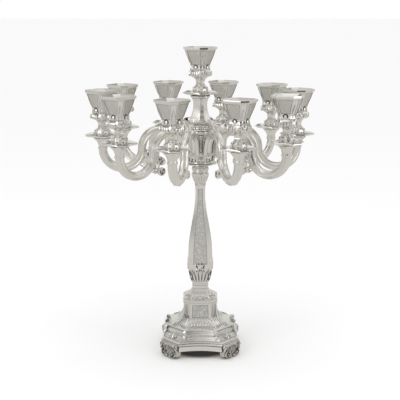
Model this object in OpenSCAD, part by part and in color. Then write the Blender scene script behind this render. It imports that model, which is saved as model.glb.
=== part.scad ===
// Eleven-light table candelabrum in silvered brass: a chamfered square base on
// four cast feet, an octagonal baluster, a hub with S-shaped arms, and a
// lift-off drip pan, knop and candle cup on every arm and on the centre stem.
// Millimetres, +Z up, origin on the table under the middle of the base.

/* [Base] */
// Half width of the plinth across its long sides
plinth_half = 71; // [68:1:74]
// Half length of one long side, between two chamfers
plinth_side = 39; // [37:1:41]
// How far the middle of a long side is drawn in
side_dip = 6.5; // [4:0.5:8]
// Height of the plinth's lower edge
plinth_foot_z = 14.5; // [14:0.5:16]
// Height of the plinth's upper face
plinth_top_z = 28.5; // [28:0.5:30]
// Height of the pedestal's upper face
pedestal_top_z = 95.5; // [94:0.5:97]
// Wall of the hollow pedestal casting
casting_wall = 5; // [4:0.5:6]
// Half length of a foot along its chamfer
foot_half = 19; // [17:0.5:20]

/* [Stem] */
// Lower end of the baluster shaft
shaft_foot_z = 126; // [125:0.5:127]
// Upper end of the baluster shaft
shaft_top_z = 307; // [306:0.5:308]
// Radius of the tie rod inside the stem
rod_r = 3; // [2.5:0.5:3.5]
// Radius of the spigot that carries the branches
pivot_r = 8; // [7.5:0.5:8.5]
// Length of that spigot
pivot_length = 30; // [28:1:30]

/* [Branches] */
// Number of arms round the hub
arm_count = 10; // [3:1:10]
// Direction of the first arm, from the front towards the right
first_arm = -15; // [-18:1:18]
// Distance from the stem to each arm's candle
arm_reach = 172.3; // [171:0.1:174]
// Radius of the two bends of an arm
bend_r = 34.5; // [34:0.1:35]
// Height of the centres of both bends
bend_z = 373; // [372:0.5:374]
// Radius of an arm's tube over its ribs
tube_r = 7.9; // [7.4:0.1:8.1]
// Radius of the hub drum
drum_r = 24.5; // [24:0.5:25]
// Height of the drip pans on the arms
pan_z = 397; // [396:0.5:398]
// Height of the centre drip pan
centre_pan_z = 470.5; // [470:0.5:472]

/* [Candle cups] */
// Radius of a drip pan over its corners
pan_r = 31; // [29:0.5:32]
// Height of a cup's rim over its drip pan
cup_rim_z = 79.5; // [79:0.5:81]
// Radius of the candle socket
socket_r = 11.2; // [10.8:0.1:11.5]
// Depth of the candle socket
socket_depth = 26; // [22:1:27]
// Radius of the spigots that the cups stand on
spigot_r = 5; // [4.5:0.5:5.5]
// Length of those spigots
spigot_length = 14; // [12:1:14]

/* [Fits] */
// Radial play of parts that turn or lift off
play = 0.05; // [0.02:0.01:0.08]

/* [Hidden] */
$fn = 64;
NARROW = 14;                 // half angle of an octagon's narrow face
SIDE_STEPS = 6;              // straight pieces along a drawn-in side
PAN_STEPS = 4;               // straight pieces along a pan's wide side
STEP_Z = 41;                 // top of the lowest moulding of the pedestal
BLOCK_HALF = 30;             // half width of the block at the top of the pedestal
BLOCK_SIDE = 18.5;           // half width of its flat sides
ROOF_Z = pedestal_top_z - 9.5;
COLLAR_Z = 109.5;
CAPITAL_TOP_Z = 342;
WASHER_T = 1.5;
HUB_Z = CAPITAL_TOP_Z + WASHER_T;
HUB_TOP_Z = 405;
HUB_FLOOR_Z = HUB_Z + pivot_length;
HUB_CAVITY_R = 17;
ARM_SCREW_Z = 384;
SCREW_R = 2;
STUD_R = 3;
VASE_TOP_Z = centre_pan_z - 4;
PAN_SEAT_Z = -4;             // underside of a pan, from its own level
PAN_FLOOR_Z = -2;
KNOP_TOP_Z = 15.5;
RECESS_Z = cup_rim_z - 6.5;  // floor of the recess round a candle
NUT_H = 6;
ARCH_X = arm_reach - 3 * bend_r;
BOWL_X = arm_reach - bend_r;
INNER_X = arm_reach - 4 * bend_r;
FOOT_X = (plinth_half + plinth_side) / sqrt(2);
FOOT_SCREW_X = 70;
CUP_TURNS = [8, 15, 28, 6, 12, 8, 15, 12, 6, 12];
CENTRE_TURN = 12;

function two(n) = str(n < 10 ? "0" : "", n);
ARM_IDS = [for (i = [1:arm_count]) two(i)];
CUP_IDS = [for (i = [1:arm_count + 1]) two(i)];
FOOT_NAMES = ["foot_back_right", "foot_back_left", "foot_front_left", "foot_front_right"];

// Pedestal from the plinth up: height, half width, half length of a side, dip
PEDESTAL_TIERS = [
    [plinth_top_z, plinth_half - 2, plinth_side, side_dip],
    [plinth_top_z + 2, plinth_half - 3.5, plinth_side - 1, side_dip - 0.2],
    [36, 66, 34.5, 6],
    [STEP_Z - 1, 63, 31, 5],
    [STEP_Z, 60.3, 27.8, 4],
    [46, 58.5, 26.6, 4],
    [50, 57, 25.5, 4],
    [52, 53.5, 24.5, 3],
    [53.5, 48.5, 23.5, 2.5],
    [56, 42.5, 22, 2],
    [60, 36.5, 20.4, 1],
    [65, 32.5, 19.3, 0.5],
    [71, 30.6, 18.8, 0.3],
    [92, BLOCK_HALF, BLOCK_SIDE, 0.3],
    [pedestal_top_z, BLOCK_HALF, BLOCK_SIDE, 0.3]
];

// Round cavity of the pedestal, radius and height, before the wall comes off
CAVITY_SECTION = [
    [0, plinth_top_z - 1], [56, plinth_top_z - 1], [56, 44], [49, 49], [41, 53.5],
    [35, 59], [31.5, 66], [BLOCK_HALF, ROOF_Z], [0, ROOF_Z]
];

CAP_TIERS = [
    [pedestal_top_z, BLOCK_HALF, BLOCK_SIDE, 0.3],
    [96.2, BLOCK_HALF + 1, BLOCK_SIDE + 0.6, 0.3],
    [98, BLOCK_HALF + 1, BLOCK_SIDE + 0.6, 0.3],
    [99, 28, 17.4, 0.3],
    [100.8, 24.5, 15.2, 0.3],
    [103, 20.8, 12.9, 0.3],
    [106, 17.5, 10.6, 0.3],
    [108, 16.3, 9.8, 0.3],
    [COLLAR_Z, 16, 9.6, 0.3]
];

// Octagonal shapes: height, radius over the corners
COLLAR_TIERS = [
    [COLLAR_Z, 17.6],
    [111, 17.2],
    [114.4, 16.6],
    [115, 15.9],
    [115.8, 15.9],
    [116.4, 16.9],
    [120.9, 16.9],
    [121.6, 16.1],
    [122.4, 16.1],
    [123.1, 16.9],
    [shaft_foot_z, 16.9]
];

SHAFT_TIERS = [
    [shaft_foot_z, 16.6],
    [132, 18.9],
    [144, 22],
    [157, 25.6],
    [170, 25.7],
    [192, 24.6],
    [213, 21.6],
    [235, 17.5],
    [256, 13.3],
    [279, 10.4],
    [297, 10.3],
    [shaft_top_z, 10.9]
];

VASE_TIERS = [
    [414, 17],
    [416, 17.6],
    [418, 18.6],
    [424, 18.6],
    [426.5, 17.5],
    [434, 15],
    [444, 12.4],
    [456, 12.4],
    [461, 14.6],
    [463, 16.7]
];

CUP_TIERS = [
    [KNOP_TOP_Z, 7.8],
    [18.4, 7.2],
    [23, 8.6],
    [26.8, 11.4],
    [30.6, 17.2],
    [34.4, 19.2],
    [40, 17.6],
    [47.6, 17.2],
    [53, 18.5],
    [64, 23.9],
    [71, 26.8],
    [cup_rim_z - 2, 29.2],
    [cup_rim_z, 29.7]
];

RECESS_TIERS = [
    [RECESS_Z, 21.5],
    [cup_rim_z + 0.1, 27.5]
];

// Drip pan section, from the hole under the pan round the rim to the floor:
// radius, height, share of the wave of the rim
PAN_SECTION = [
    [15.9, PAN_SEAT_Z, 0],
    [17.5, -3.6, 0],
    [pan_r - 3, -1.7, 0.8],
    [pan_r, -0.2, 1],
    [pan_r, 0.9, 1],
    [pan_r - 1.6, 1.1, 1],
    [pan_r - 4, -0.6, 0.7],
    [17, PAN_FLOOR_Z, 0],
    [14, PAN_FLOOR_Z, 0]
];
PAN_WAVE = 1.8;              // rise of the rim in the middle of a wide side
PAN_BULGE = 0.02;            // how far a wide side bulges, as a share of the radius

function octagon(tier, turn) = [
    for (q = [0:3], side = [-1, 1])
        let (a = turn + 90 * q + side * NARROW)
        [tier[1] * cos(a), tier[1] * sin(a), tier[0]]
];

// One ring of the base: four sides drawn in along a parabola, straight chamfers
function base_ring(tier) = [
    for (q = [0:3], k = [0:SIDE_STEPS])
        let (u = 2 * k / SIDE_STEPS - 1)
        let (x = u * tier[2], y = tier[3] * (1 - u * u) - tier[1])
        [x * cos(90 * q) - y * sin(90 * q), x * sin(90 * q) + y * cos(90 * q), tier[0]]
];

// One ring of a pan: the wide sides of the octagon rise in the middle
function pan_ring(point) = [
    for (q = [0:3], k = [0:PAN_STEPS])
        let (half = 45 - NARROW, u = 2 * k / PAN_STEPS - 1, a = 90 * q + 45)
        let (across = point[0] * sin(half) * u, out = point[0] * (cos(half) + PAN_BULGE * (1 - u * u)))
        let (rise = PAN_WAVE * point[2] * (1 - u * u))
        [out * cos(a) - across * sin(a), out * sin(a) + across * cos(a), point[1] + rise]
];

function arm_angle(i) = first_arm - 90 + 360 / arm_count * i;

// Closed skin over rings of points that all have the same count
module loft(rings) {
    n = len(rings[0]);
    m = len(rings);
    skin = [
        for (k = [0:m - 2], i = [0:n - 1])
            let (j = (i + 1) % n, low = k * n, high = low + n)
            each [[low + i, high + i, high + j], [low + i, high + j, low + j]]
    ];
    floor_face = [[for (i = [0:n - 1]) i]];
    top_face = [[for (i = [n - 1:-1:0]) (m - 1) * n + i]];
    polyhedron([for (r = rings) each r], concat(skin, floor_face, top_face), convexity = 6);
}

module octagon_loft(tiers, turn) {
    loft([for (t = tiers) octagon(t, turn)]);
}

module base_loft(tiers) {
    loft([for (t = tiers) base_ring(t)]);
}

// A straight bore or pin between two heights
module post(r, z0, z1) {
    translate([0, 0, z0])
        cylinder(r = r, h = z1 - z0);
}

// A plate cut in the plane of an arm: x away from the stem, y up
module upright_plate(thickness) {
    rotate([90, 0, 0])
        linear_extrude(thickness, center = true)
            children();
}

// ---- base ----

module foot_at(k) {
    color("silver")
    rotate(45 + 90 * k)
    difference() {
        union() {
            translate([63.5, -foot_half + 1, 0])
                cube([16.5, 2 * foot_half - 2, 5]);
            translate([62, -16, 4])
                cube([FOOT_X - 61.5, 32, plinth_foot_z - 4]);
            translate([FOOT_X, -foot_half, 3])
                cube([3.2, 2 * foot_half, 23]);
            for (side = [-1, 1])
                translate([67, side * 11.3, 7.4])
                    rotate([0, 90, 0])
                        cylinder(r = 6.6, h = 15.5);
            translate([FOOT_X + 1.6, 0, 16])
                rotate([0, 90, 0])
                    cylinder(r = 8, h = 3.4);
        }
        translate([FOOT_SCREW_X, 0, 0])
            post(SCREW_R + play, -1, 20);
        translate([FOOT_SCREW_X, 0, 0])
            post(4, -1, 4);
    }
}

module foot_screws() {
    color("darkgray")
    for (k = [0:3])
        rotate(45 + 90 * k)
            translate([FOOT_SCREW_X, 0, 0]) {
                post(3.8, 1.5, 4);
                post(SCREW_R, 4, 23);
            }
}

module base_plinth() {
    mid_z = plinth_foot_z + 3;
    color("gainsboro")
    difference() {
        base_loft([
            [plinth_foot_z, plinth_half - 1.5, plinth_side - 1, side_dip],
            [mid_z, plinth_half - 1, plinth_side - 0.5, side_dip],
            [plinth_top_z - 4, plinth_half - 1, plinth_side - 0.5, side_dip],
            [plinth_top_z - 3, plinth_half, plinth_side, side_dip],
            [plinth_top_z, plinth_half, plinth_side, side_dip]
        ]);
        base_loft([
            [plinth_foot_z - 1, plinth_half - 11, plinth_side - 13, side_dip - 1],
            [plinth_top_z - 4, plinth_half - 11, plinth_side - 13, side_dip - 1]
        ]);
        post(40, plinth_top_z - 6, plinth_top_z + 1);
        for (k = [0:3])
            rotate(45 + 90 * k)
                translate([FOOT_SCREW_X, 0, 0])
                    post(SCREW_R + play, plinth_foot_z - 1, 24);
    }
}

// Scroll bracket on one edge of the step, standing out along the edge
module edge_bracket() {
    upright_plate(4) {
        translate([-0.5, 47.5])
            circle(r = 4.8);
        translate([2.6, 38.5])
            circle(r = 4.2);
        translate([-4, 36])
            square([6, 13]);
    }
}

module base_pedestal() {
    bracket_side = 26;
    bracket_out = 60;
    color("gainsboro")
    difference() {
        union() {
            base_loft(PEDESTAL_TIERS);
            for (q = [0:3], side = [-1, 1])
                rotate(90 * q)
                    translate([bracket_out, side * bracket_side, 0])
                        rotate(side * 22.5)
                            edge_bracket();
        }
        rotate_extrude()
            polygon([for (p = CAVITY_SECTION) [p[0] > 0 ? p[0] - casting_wall : 0, p[1]]]);
        post(rod_r + play, ROOF_Z - 1, pedestal_top_z + 1);
        // shallow engraved field on each face
        for (q = [0:3])
            rotate(90 * q)
                translate([BLOCK_HALF + 1, 0, 79.5])
                    rotate([0, -1.6, 0])
                        cube([3, 25, 21], center = true);
    }
}

module pedestal_cap() {
    color("silver")
    difference() {
        base_loft(CAP_TIERS);
        post(rod_r + play, pedestal_top_z - 1, COLLAR_Z + 1);
    }
}

module base_collar() {
    color("gainsboro")
    difference() {
        octagon_loft(COLLAR_TIERS, 45);
        post(rod_r + play, COLLAR_Z - 1, shaft_foot_z + 1);
    }
}

// ---- stem ----

module baluster_shaft() {
    color("silver")
    difference() {
        octagon_loft(SHAFT_TIERS, 45);
        rotate_extrude()
            polygon([
                [0, 134], [11, 140], [17, 158], [17, 172], [14.5, 200],
                [11, 228], [8, 250], [6, 270], [0, 276]
            ]);
        post(rod_r + play, shaft_foot_z - 1, shaft_top_z + 1);
    }
}

module shaft_capital() {
    color("gainsboro")
    difference() {
        rotate_extrude()
            polygon([
                [0, shaft_top_z], [9.6, shaft_top_z], [11.6, 311.5], [13.8, 319], [14.8, 325],
                [14.8, 328], [13.2, 328.8], [13.2, 330], [14.6, 331.5], [15, 336],
                [14.6, 340.5], [13.6, CAPITAL_TOP_Z], [pivot_r, CAPITAL_TOP_Z],
                [pivot_r, CAPITAL_TOP_Z + pivot_length - 1], [pivot_r - 1, CAPITAL_TOP_Z + pivot_length],
                [0, CAPITAL_TOP_Z + pivot_length]
            ]);
        post(rod_r + play, shaft_top_z - 1, 337);
    }
}

module tie_rod() {
    color("darkgray")
    post(rod_r, ROOF_Z - NUT_H - 4, 336);
}

module base_nut() {
    color("darkgray")
    difference() {
        translate([0, 0, ROOF_Z - NUT_H])
            cylinder(r = 7, h = NUT_H, $fn = 6);
        post(rod_r + play, ROOF_Z - NUT_H - 1, ROOF_Z + 1);
    }
}

module thrust_washer() {
    color("goldenrod")
    difference() {
        post(13, CAPITAL_TOP_Z, HUB_Z);
        post(pivot_r + play, CAPITAL_TOP_Z - 1, HUB_Z + 1);
    }
}

// ---- branches ----

module branch_hub() {
    flange_r = 30;
    flute_r = 3.4;
    color("silver")
    difference() {
        rotate_extrude()
            polygon([
                [0, HUB_Z], [14.5, HUB_Z], [flange_r - 1, HUB_Z + 1.2], [flange_r, HUB_Z + 2.2],
                [flange_r - 1, HUB_Z + 3.4], [drum_r + 1, HUB_Z + 4], [drum_r, HUB_Z + 6],
                [drum_r, HUB_TOP_Z - 6], [drum_r - 2.5, HUB_TOP_Z - 3], [drum_r - 2.5, HUB_TOP_Z],
                [0, HUB_TOP_Z]
            ]);
        post(pivot_r + play, HUB_Z - 1, HUB_FLOOR_Z + 1);
        post(HUB_CAVITY_R, HUB_FLOOR_Z, HUB_TOP_Z + 1);
        for (i = [0:arm_count - 1]) {
            rotate(arm_angle(i) + 180 / arm_count)
                translate([drum_r + 1.4, 0, 0])
                    post(flute_r, HUB_Z + 8, HUB_TOP_Z - 8);
            rotate(arm_angle(i))
                translate([HUB_CAVITY_R - 2, 0, ARM_SCREW_Z])
                    rotate([0, 90, 0])
                        cylinder(r = SCREW_R + play, h = 12);
        }
    }
}

module arm_screws() {
    head_h = 2.5;
    color("darkgray")
    for (i = [0:arm_count - 1])
        rotate(arm_angle(i))
            translate([0, 0, ARM_SCREW_Z])
                rotate([0, 90, 0]) {
                    post(3.5, HUB_CAVITY_R - head_h - 0.3, HUB_CAVITY_R - 0.3);
                    post(SCREW_R, HUB_CAVITY_R - 0.3, INNER_X - 1);
                }
}

module hub_vase() {
    color("gainsboro")
    difference() {
        union() {
            octagon_loft(VASE_TIERS, CENTRE_TURN);
            rotate_extrude()
                polygon([
                    [0, HUB_TOP_Z], [20.5, HUB_TOP_Z], [21.5, HUB_TOP_Z + 1.2],
                    [20, HUB_TOP_Z + 2.6], [18, HUB_TOP_Z + 4], [18, HUB_TOP_Z + 6],
                    [19.4, HUB_TOP_Z + 7.5], [18.4, HUB_TOP_Z + 9], [0, HUB_TOP_Z + 9]
                ]);
            post(HUB_CAVITY_R - play, HUB_TOP_Z - 5, HUB_TOP_Z + 1);
            post(16.7, VASE_TIERS[9][0], VASE_TOP_Z);
            post(spigot_r, VASE_TOP_Z - 1, VASE_TOP_Z + spigot_length);
        }
        post(STUD_R, HUB_TOP_Z - 6, HUB_TOP_Z + 30);
    }
}

// Ribbed section of an arm's tube: ridges and grooves in turn
function tube_section() = [
    for (k = [0:15])
        let (r = tube_r * (k % 2 == 0 ? 1 : 0.92))
        [r * cos(22.5 * k), r * sin(22.5 * k)]
];

// Half a ring of tube about the bend's centre, above it or below it
module bend(x, side) {
    translate([x, 0, bend_z])
        rotate([90, 0, 0])
            rotate(side > 0 ? 0 : 180)
                rotate_extrude(angle = 180)
                    translate([bend_r, 0])
                        polygon(tube_section());
}

// Flared cup that carries the drip pan at an arm's outer end
module trumpet() {
    steps = 6;
    base_z = bend_z - 0.5;
    mouth_r = 16;
    seat_z = pan_z + PAN_SEAT_Z - play;
    flare = [
        for (k = [0:steps])
            let (t = k / steps)
            [tube_r + (mouth_r - tube_r) * pow(t, 2.4), bend_z + 5 + (seat_z - bend_z - 6.5) * t]
    ];
    rotate_extrude()
        polygon(concat(
            [[0, base_z], [tube_r + 0.6, base_z], [tube_r + 1.1, base_z + 1.5], [tube_r + 1.1, base_z + 3.5]],
            flare,
            [[mouth_r, seat_z], [0, seat_z]]
        ));
    post(spigot_r, seat_z - 1, seat_z + spigot_length);
}

// Pierced scroll on the stem side of an arm's middle limb
module limb_scroll() {
    upright_plate(7)
        difference() {
            union() {
                polygon([
                    [97, 374], [91.5, 367], [89, 356], [90, 346], [86, 334],
                    [96, 334], [112, 346], [104, 360], [99, 374]
                ]);
                translate([85, 341])
                    circle(r = 8);
                translate([89.5, 362])
                    circle(r = 5.2);
            }
            translate([84.5, 341.5])
                circle(r = 2.8);
            translate([96.2, 362])
                circle(r = 1.7);
            translate([97.5, 351])
                circle(r = 2);
        }
}

// Leaf that lies on the crown of an arm and curls up towards the stem
module crown_leaf() {
    upright_plate(7) {
        polygon([
            [80, 411], [72, 417], [64, 419.6], [56, 420.3], [52, 417],
            [54, 411], [62, 411], [70, 411]
        ]);
        translate([54.2, 416.4])
            circle(r = 4);
    }
}

module arm_at(i) {
    pad_h = 16;
    color("gainsboro")
    rotate(arm_angle(i))
    difference() {
        union() {
            bend(ARCH_X, 1);
            bend(BOWL_X, -1);
            translate([INNER_X, 0, bend_z - 6])
                linear_extrude(6)
                    polygon(tube_section());
            translate([INNER_X, 0, bend_z - 6])
                sphere(r = tube_r + 0.5);
            translate([INNER_X + 5.2, 0, bend_z - 9.5])
                sphere(r = 5.6);
            translate([drum_r - 3, -5.5, ARM_SCREW_Z - pad_h / 2])
                cube([INNER_X - drum_r + 3, 11, pad_h]);
            translate([arm_reach, 0, 0])
                trumpet();
            limb_scroll();
            crown_leaf();
        }
        post(drum_r + play, HUB_Z, HUB_TOP_Z);
        translate([drum_r - 1, 0, ARM_SCREW_Z])
            rotate([0, 90, 0])
                cylinder(r = SCREW_R + play, h = INNER_X - drum_r + 1);
    }
}

// ---- candle cups ----

// Stands a nozzle part on its arm, or on the centre stem after the last arm
module on_arm(i) {
    a = arm_angle(i);
    if (i < arm_count)
        translate([arm_reach * cos(a), arm_reach * sin(a), pan_z])
            rotate(CUP_TURNS[i])
                children();
    else
        translate([0, 0, centre_pan_z])
            rotate(CENTRE_TURN)
                children();
}

module drip_pan() {
    color("silver")
    difference() {
        loft([for (p = PAN_SECTION) pan_ring(p)]);
        post(spigot_r + play, PAN_SEAT_Z - 1, PAN_FLOOR_Z + 1);
    }
}

module cup_knop() {
    color("gainsboro")
    difference() {
        rotate_extrude()
            polygon([
                [0, PAN_FLOOR_Z], [13.4, PAN_FLOOR_Z], [13.4, -0.6], [12.2, 0.6], [11.6, 3],
                [11.4, 6], [10.8, 9], [9.6, 12], [8.2, 14.4], [7.8, KNOP_TOP_Z],
                [STUD_R, KNOP_TOP_Z], [STUD_R, KNOP_TOP_Z + 6], [0, KNOP_TOP_Z + 6]
            ]);
        post(spigot_r + play, PAN_FLOOR_Z - 1, PAN_SEAT_Z + spigot_length + 0.5);
    }
}

module candle_cup() {
    color("silver")
    difference() {
        octagon_loft(CUP_TIERS, 0);
        octagon_loft(RECESS_TIERS, 0);
        post(socket_r, RECESS_Z - socket_depth, RECESS_Z + 1);
        post(STUD_R + play, KNOP_TOP_Z - 1, KNOP_TOP_Z + 6.5);
    }
}

for (k = [0:3])
    foot_at(k);
foot_screws();
base_plinth();
base_pedestal();
pedestal_cap();
base_collar();
baluster_shaft();
shaft_capital();
tie_rod();
base_nut();
thrust_washer();
branch_hub();
hub_vase();
arm_screws();
for (i = [0:arm_count - 1])
    arm_at(i);
for (i = [0:arm_count]) {
    on_arm(i) drip_pan();
    on_arm(i) cup_knop();
    on_arm(i) candle_cup();
}
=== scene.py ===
import math

import bmesh
import bpy
from mathutils import Matrix, Vector


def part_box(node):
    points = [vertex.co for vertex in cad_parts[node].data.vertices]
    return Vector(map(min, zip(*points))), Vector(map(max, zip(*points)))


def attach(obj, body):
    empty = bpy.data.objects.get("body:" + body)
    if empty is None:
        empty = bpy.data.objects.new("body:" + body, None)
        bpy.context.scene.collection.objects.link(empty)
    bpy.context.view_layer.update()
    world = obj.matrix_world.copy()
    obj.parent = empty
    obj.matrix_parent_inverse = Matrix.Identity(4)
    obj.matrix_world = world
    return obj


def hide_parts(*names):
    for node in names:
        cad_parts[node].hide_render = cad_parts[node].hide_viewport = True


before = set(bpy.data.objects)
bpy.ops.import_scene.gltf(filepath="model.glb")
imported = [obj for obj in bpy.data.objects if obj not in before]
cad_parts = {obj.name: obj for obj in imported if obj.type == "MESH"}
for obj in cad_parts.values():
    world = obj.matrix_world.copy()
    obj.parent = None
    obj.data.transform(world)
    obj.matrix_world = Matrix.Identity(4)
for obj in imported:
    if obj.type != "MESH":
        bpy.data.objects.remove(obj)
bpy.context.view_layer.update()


# ---------------------------------------------------------------- studio
# A white table top under an even white sky, with soft boxes left, right and above.
# The sky that the silver mirrors has a few darker panels in it, as a studio has,
# and the camera stands a long step away, looking a little down on the branches.
eye = (-0.0005, -1.593, 0.630)
look_down = math.radians(12.46)
bpy.ops.object.camera_add(location=eye, rotation=(math.radians(90) - look_down, 0, 0))
camera = bpy.context.object
camera.data.sensor_width = 36
camera.data.lens = 81.6
bpy.context.scene.camera = camera
bpy.context.scene.view_settings.view_transform = "Standard"

# the table: one white to the horizon, with a painted shadow where the stand closes it in;
# polished metal mirrors it a little duller
SHADOW_RADIUS, WHITE_RADIUS = 0.052, 0.066
SHADOW_TONE, WHITE_TONE = 0.12, 0.94
bpy.ops.mesh.primitive_plane_add(size=60)
table = bpy.context.object
table.name = "table_top"
table_paint = bpy.data.materials.new("table_paint")
table_paint.use_nodes = True
tree = table_paint.node_tree
table_shader = tree.nodes["Principled BSDF"]
table_shader.inputs["Roughness"].default_value = 1
table_shader.inputs["Specular IOR Level"].default_value = 0
place = tree.nodes.new("ShaderNodeTexCoord")
flat_place = tree.nodes.new("ShaderNodeVectorMath")
flat_place.operation = "MULTIPLY"
flat_place.inputs[1].default_value = (1, 1, 0)
tree.links.new(place.outputs["Object"], flat_place.inputs[0])
from_stand = tree.nodes.new("ShaderNodeVectorMath")
from_stand.operation = "LENGTH"
tree.links.new(flat_place.outputs["Vector"], from_stand.inputs[0])
# painted shadow: the table's colour goes dark inside the stand's footprint
painted_shadow_mask = tree.nodes.new("ShaderNodeMapRange")
painted_shadow_mask.inputs["From Min"].default_value = SHADOW_RADIUS
painted_shadow_mask.inputs["From Max"].default_value = WHITE_RADIUS
painted_shadow_mask.inputs["To Min"].default_value = SHADOW_TONE
painted_shadow_mask.inputs["To Max"].default_value = WHITE_TONE
tree.links.new(from_stand.outputs["Value"], painted_shadow_mask.inputs["Value"])
tree.links.new(painted_shadow_mask.outputs["Result"], table_shader.inputs["Base Color"])
mirrored_table = tree.nodes.new("ShaderNodeEmission")
mirrored_table.inputs["Color"].default_value = (0.66, 0.65, 0.625, 1)
ray = tree.nodes.new("ShaderNodeLightPath")
either = tree.nodes.new("ShaderNodeMixShader")
tree.links.new(ray.outputs["Is Glossy Ray"], either.inputs["Fac"])
tree.links.new(table_shader.outputs[0], either.inputs[1])
tree.links.new(mirrored_table.outputs[0], either.inputs[2])
tree.links.new(either.outputs[0], tree.nodes["Material Output"].inputs["Surface"])
table.data.materials.append(table_paint)

# a black card right of the camera, seen only in the silver, for its dark facets
CARD_PLACE = (0.56, -1.06, 0.60)
CARD_TURN = 0.49
bpy.ops.mesh.primitive_plane_add(size=1, location=CARD_PLACE, rotation=(math.radians(90), 0, CARD_TURN))
card = bpy.context.object
card.name = "black_card"
card.scale = (0.34, 0.66, 1)
card_paint = bpy.data.materials.new("card_paint")
card_paint.use_nodes = True
card_shader = card_paint.node_tree.nodes["Principled BSDF"]
card_shader.inputs["Base Color"].default_value = (0.02, 0.02, 0.02, 1)
card_shader.inputs["Roughness"].default_value = 1
card_shader.inputs["Specular IOR Level"].default_value = 0
card.data.materials.append(card_paint)
card.visible_camera = False
card.visible_diffuse = False
card.visible_shadow = False

soft_boxes = (
    # place, size across and up, power
    ((-1.3, -1.1, 1.1), (0.7, 1.3), 4.2),
    ((1.5, -0.7, 0.7), (0.5, 1.1), 2.2),
    ((0.2, -0.5, 1.9), (0.9, 0.6), 2.4),
)
for place, (across, up), power in soft_boxes:
    aim = (Vector((0, 0, 0.3)) - Vector(place)).to_track_quat("-Z", "Y").to_euler()
    bpy.ops.object.light_add(type="AREA", location=place, rotation=aim)
    light = bpy.context.object.data
    light.shape = "RECTANGLE"
    light.size = across
    light.size_y = up
    light.energy = power
# the box overhead lights the silver but is too high for it to mirror
bpy.context.object.visible_glossy = False

# the sky: white where the camera looks and for the table; polished metal mirrors
# the room behind it, tone by direction round the stand and by height
sky = bpy.data.worlds.new("studio_sky")
bpy.context.scene.world = sky
sky.use_nodes = True
tree = sky.node_tree
tree.nodes.clear()


def tones(tree, value, low, high, stops):
    """A grey ramp over value from low to high; stops are (value, tone)."""
    span = tree.nodes.new("ShaderNodeMapRange")
    span.inputs["From Min"].default_value = low
    span.inputs["From Max"].default_value = high
    tree.links.new(value, span.inputs["Value"])
    ramp = tree.nodes.new("ShaderNodeValToRGB")
    tree.links.new(span.outputs["Result"], ramp.inputs["Fac"])
    ends = ramp.color_ramp.elements
    for k, (at, tone) in enumerate(stops):
        spot = (at - low) / (high - low)
        stop = ends[0] if k == 0 else ends[-1] if k == len(stops) - 1 else ends.new(spot)
        stop.position = spot
        stop.color = (tone, tone, tone * 0.985, 1)
    return ramp.outputs["Color"]


direction = tree.nodes.new("ShaderNodeTexCoord")
split = tree.nodes.new("ShaderNodeSeparateXYZ")
tree.links.new(direction.outputs["Generated"], split.inputs["Vector"])
to_camera = tree.nodes.new("ShaderNodeMath")
to_camera.operation = "MULTIPLY"
to_camera.inputs[1].default_value = -1
tree.links.new(split.outputs["Y"], to_camera.inputs[0])
azimuth = tree.nodes.new("ShaderNodeMath")
azimuth.operation = "ARCTAN2"
tree.links.new(split.outputs["X"], azimuth.inputs[0])
tree.links.new(to_camera.outputs[0], azimuth.inputs[1])
round_tones = tones(tree, azimuth.outputs[0], -math.pi, math.pi, (
    (-3.14, 0.55), (-2.4, 0.75), (-1.9, 0.60), (-1.55, 0.40), (-1.35, 0.55), (-1.15, 0.82), (-0.55, 0.88),
    (-0.30, 0.62), (0.10, 0.50), (0.30, 0.45), (0.55, 0.55), (0.70, 0.80), (1.1, 0.80), (1.3, 0.38),
    (1.5, 0.50), (1.8, 0.70), (2.4, 0.75), (3.14, 0.55)))
height_tones = tones(tree, split.outputs["Z"], -1, 1, (
    (-1, 0.5), (0.0, 0.78), (0.10, 1.0), (0.22, 1.25), (0.42, 1.3), (0.52, 0.45), (0.60, 0.40), (0.70, 1.1),
    (0.95, 1.2), (1, 1.2)))
mirrored = tree.nodes.new("ShaderNodeMixRGB")
mirrored.blend_type = "MULTIPLY"
mirrored.inputs["Fac"].default_value = 1
tree.links.new(round_tones, mirrored.inputs["Color1"])
tree.links.new(height_tones, mirrored.inputs["Color2"])
mirrored_sky = tree.nodes.new("ShaderNodeBackground")
mirrored_sky.inputs["Strength"].default_value = 1.0
tree.links.new(mirrored.outputs["Color"], mirrored_sky.inputs["Color"])
table_light = tree.nodes.new("ShaderNodeBackground")
squared = tree.nodes.new("ShaderNodeMath")
squared.operation = "POWER"
squared.inputs[1].default_value = 1.6
tree.links.new(split.outputs["Z"], squared.inputs[0])
from_above = tree.nodes.new("ShaderNodeMath")
from_above.operation = "MULTIPLY"
from_above.inputs[1].default_value = 2.27
tree.links.new(squared.outputs[0], from_above.inputs[0])
tree.links.new(from_above.outputs[0], table_light.inputs["Strength"])
seen_sky = tree.nodes.new("ShaderNodeBackground")
seen_sky.inputs["Color"].default_value = (1.01, 1.01, 1.01, 1)
ray = tree.nodes.new("ShaderNodeLightPath")
by_gloss = tree.nodes.new("ShaderNodeMixShader")
tree.links.new(ray.outputs["Is Glossy Ray"], by_gloss.inputs["Fac"])
tree.links.new(table_light.outputs[0], by_gloss.inputs[1])
tree.links.new(mirrored_sky.outputs[0], by_gloss.inputs[2])
by_camera = tree.nodes.new("ShaderNodeMixShader")
tree.links.new(ray.outputs["Is Camera Ray"], by_camera.inputs["Fac"])
tree.links.new(by_gloss.outputs[0], by_camera.inputs[1])
tree.links.new(seen_sky.outputs[0], by_camera.inputs[2])
sky_out = tree.nodes.new("ShaderNodeOutputWorld")
tree.links.new(by_camera.outputs[0], sky_out.inputs["Surface"])


# ---------------------------------------------------------------- feet
# Four cast feet in silvered brass under the chamfered corners: a pair of volutes,
# a fan of ribs between them and rough cast ground, dark in every hollow.
# Each is screwed to the plinth from below.
MM = 0.001


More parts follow.
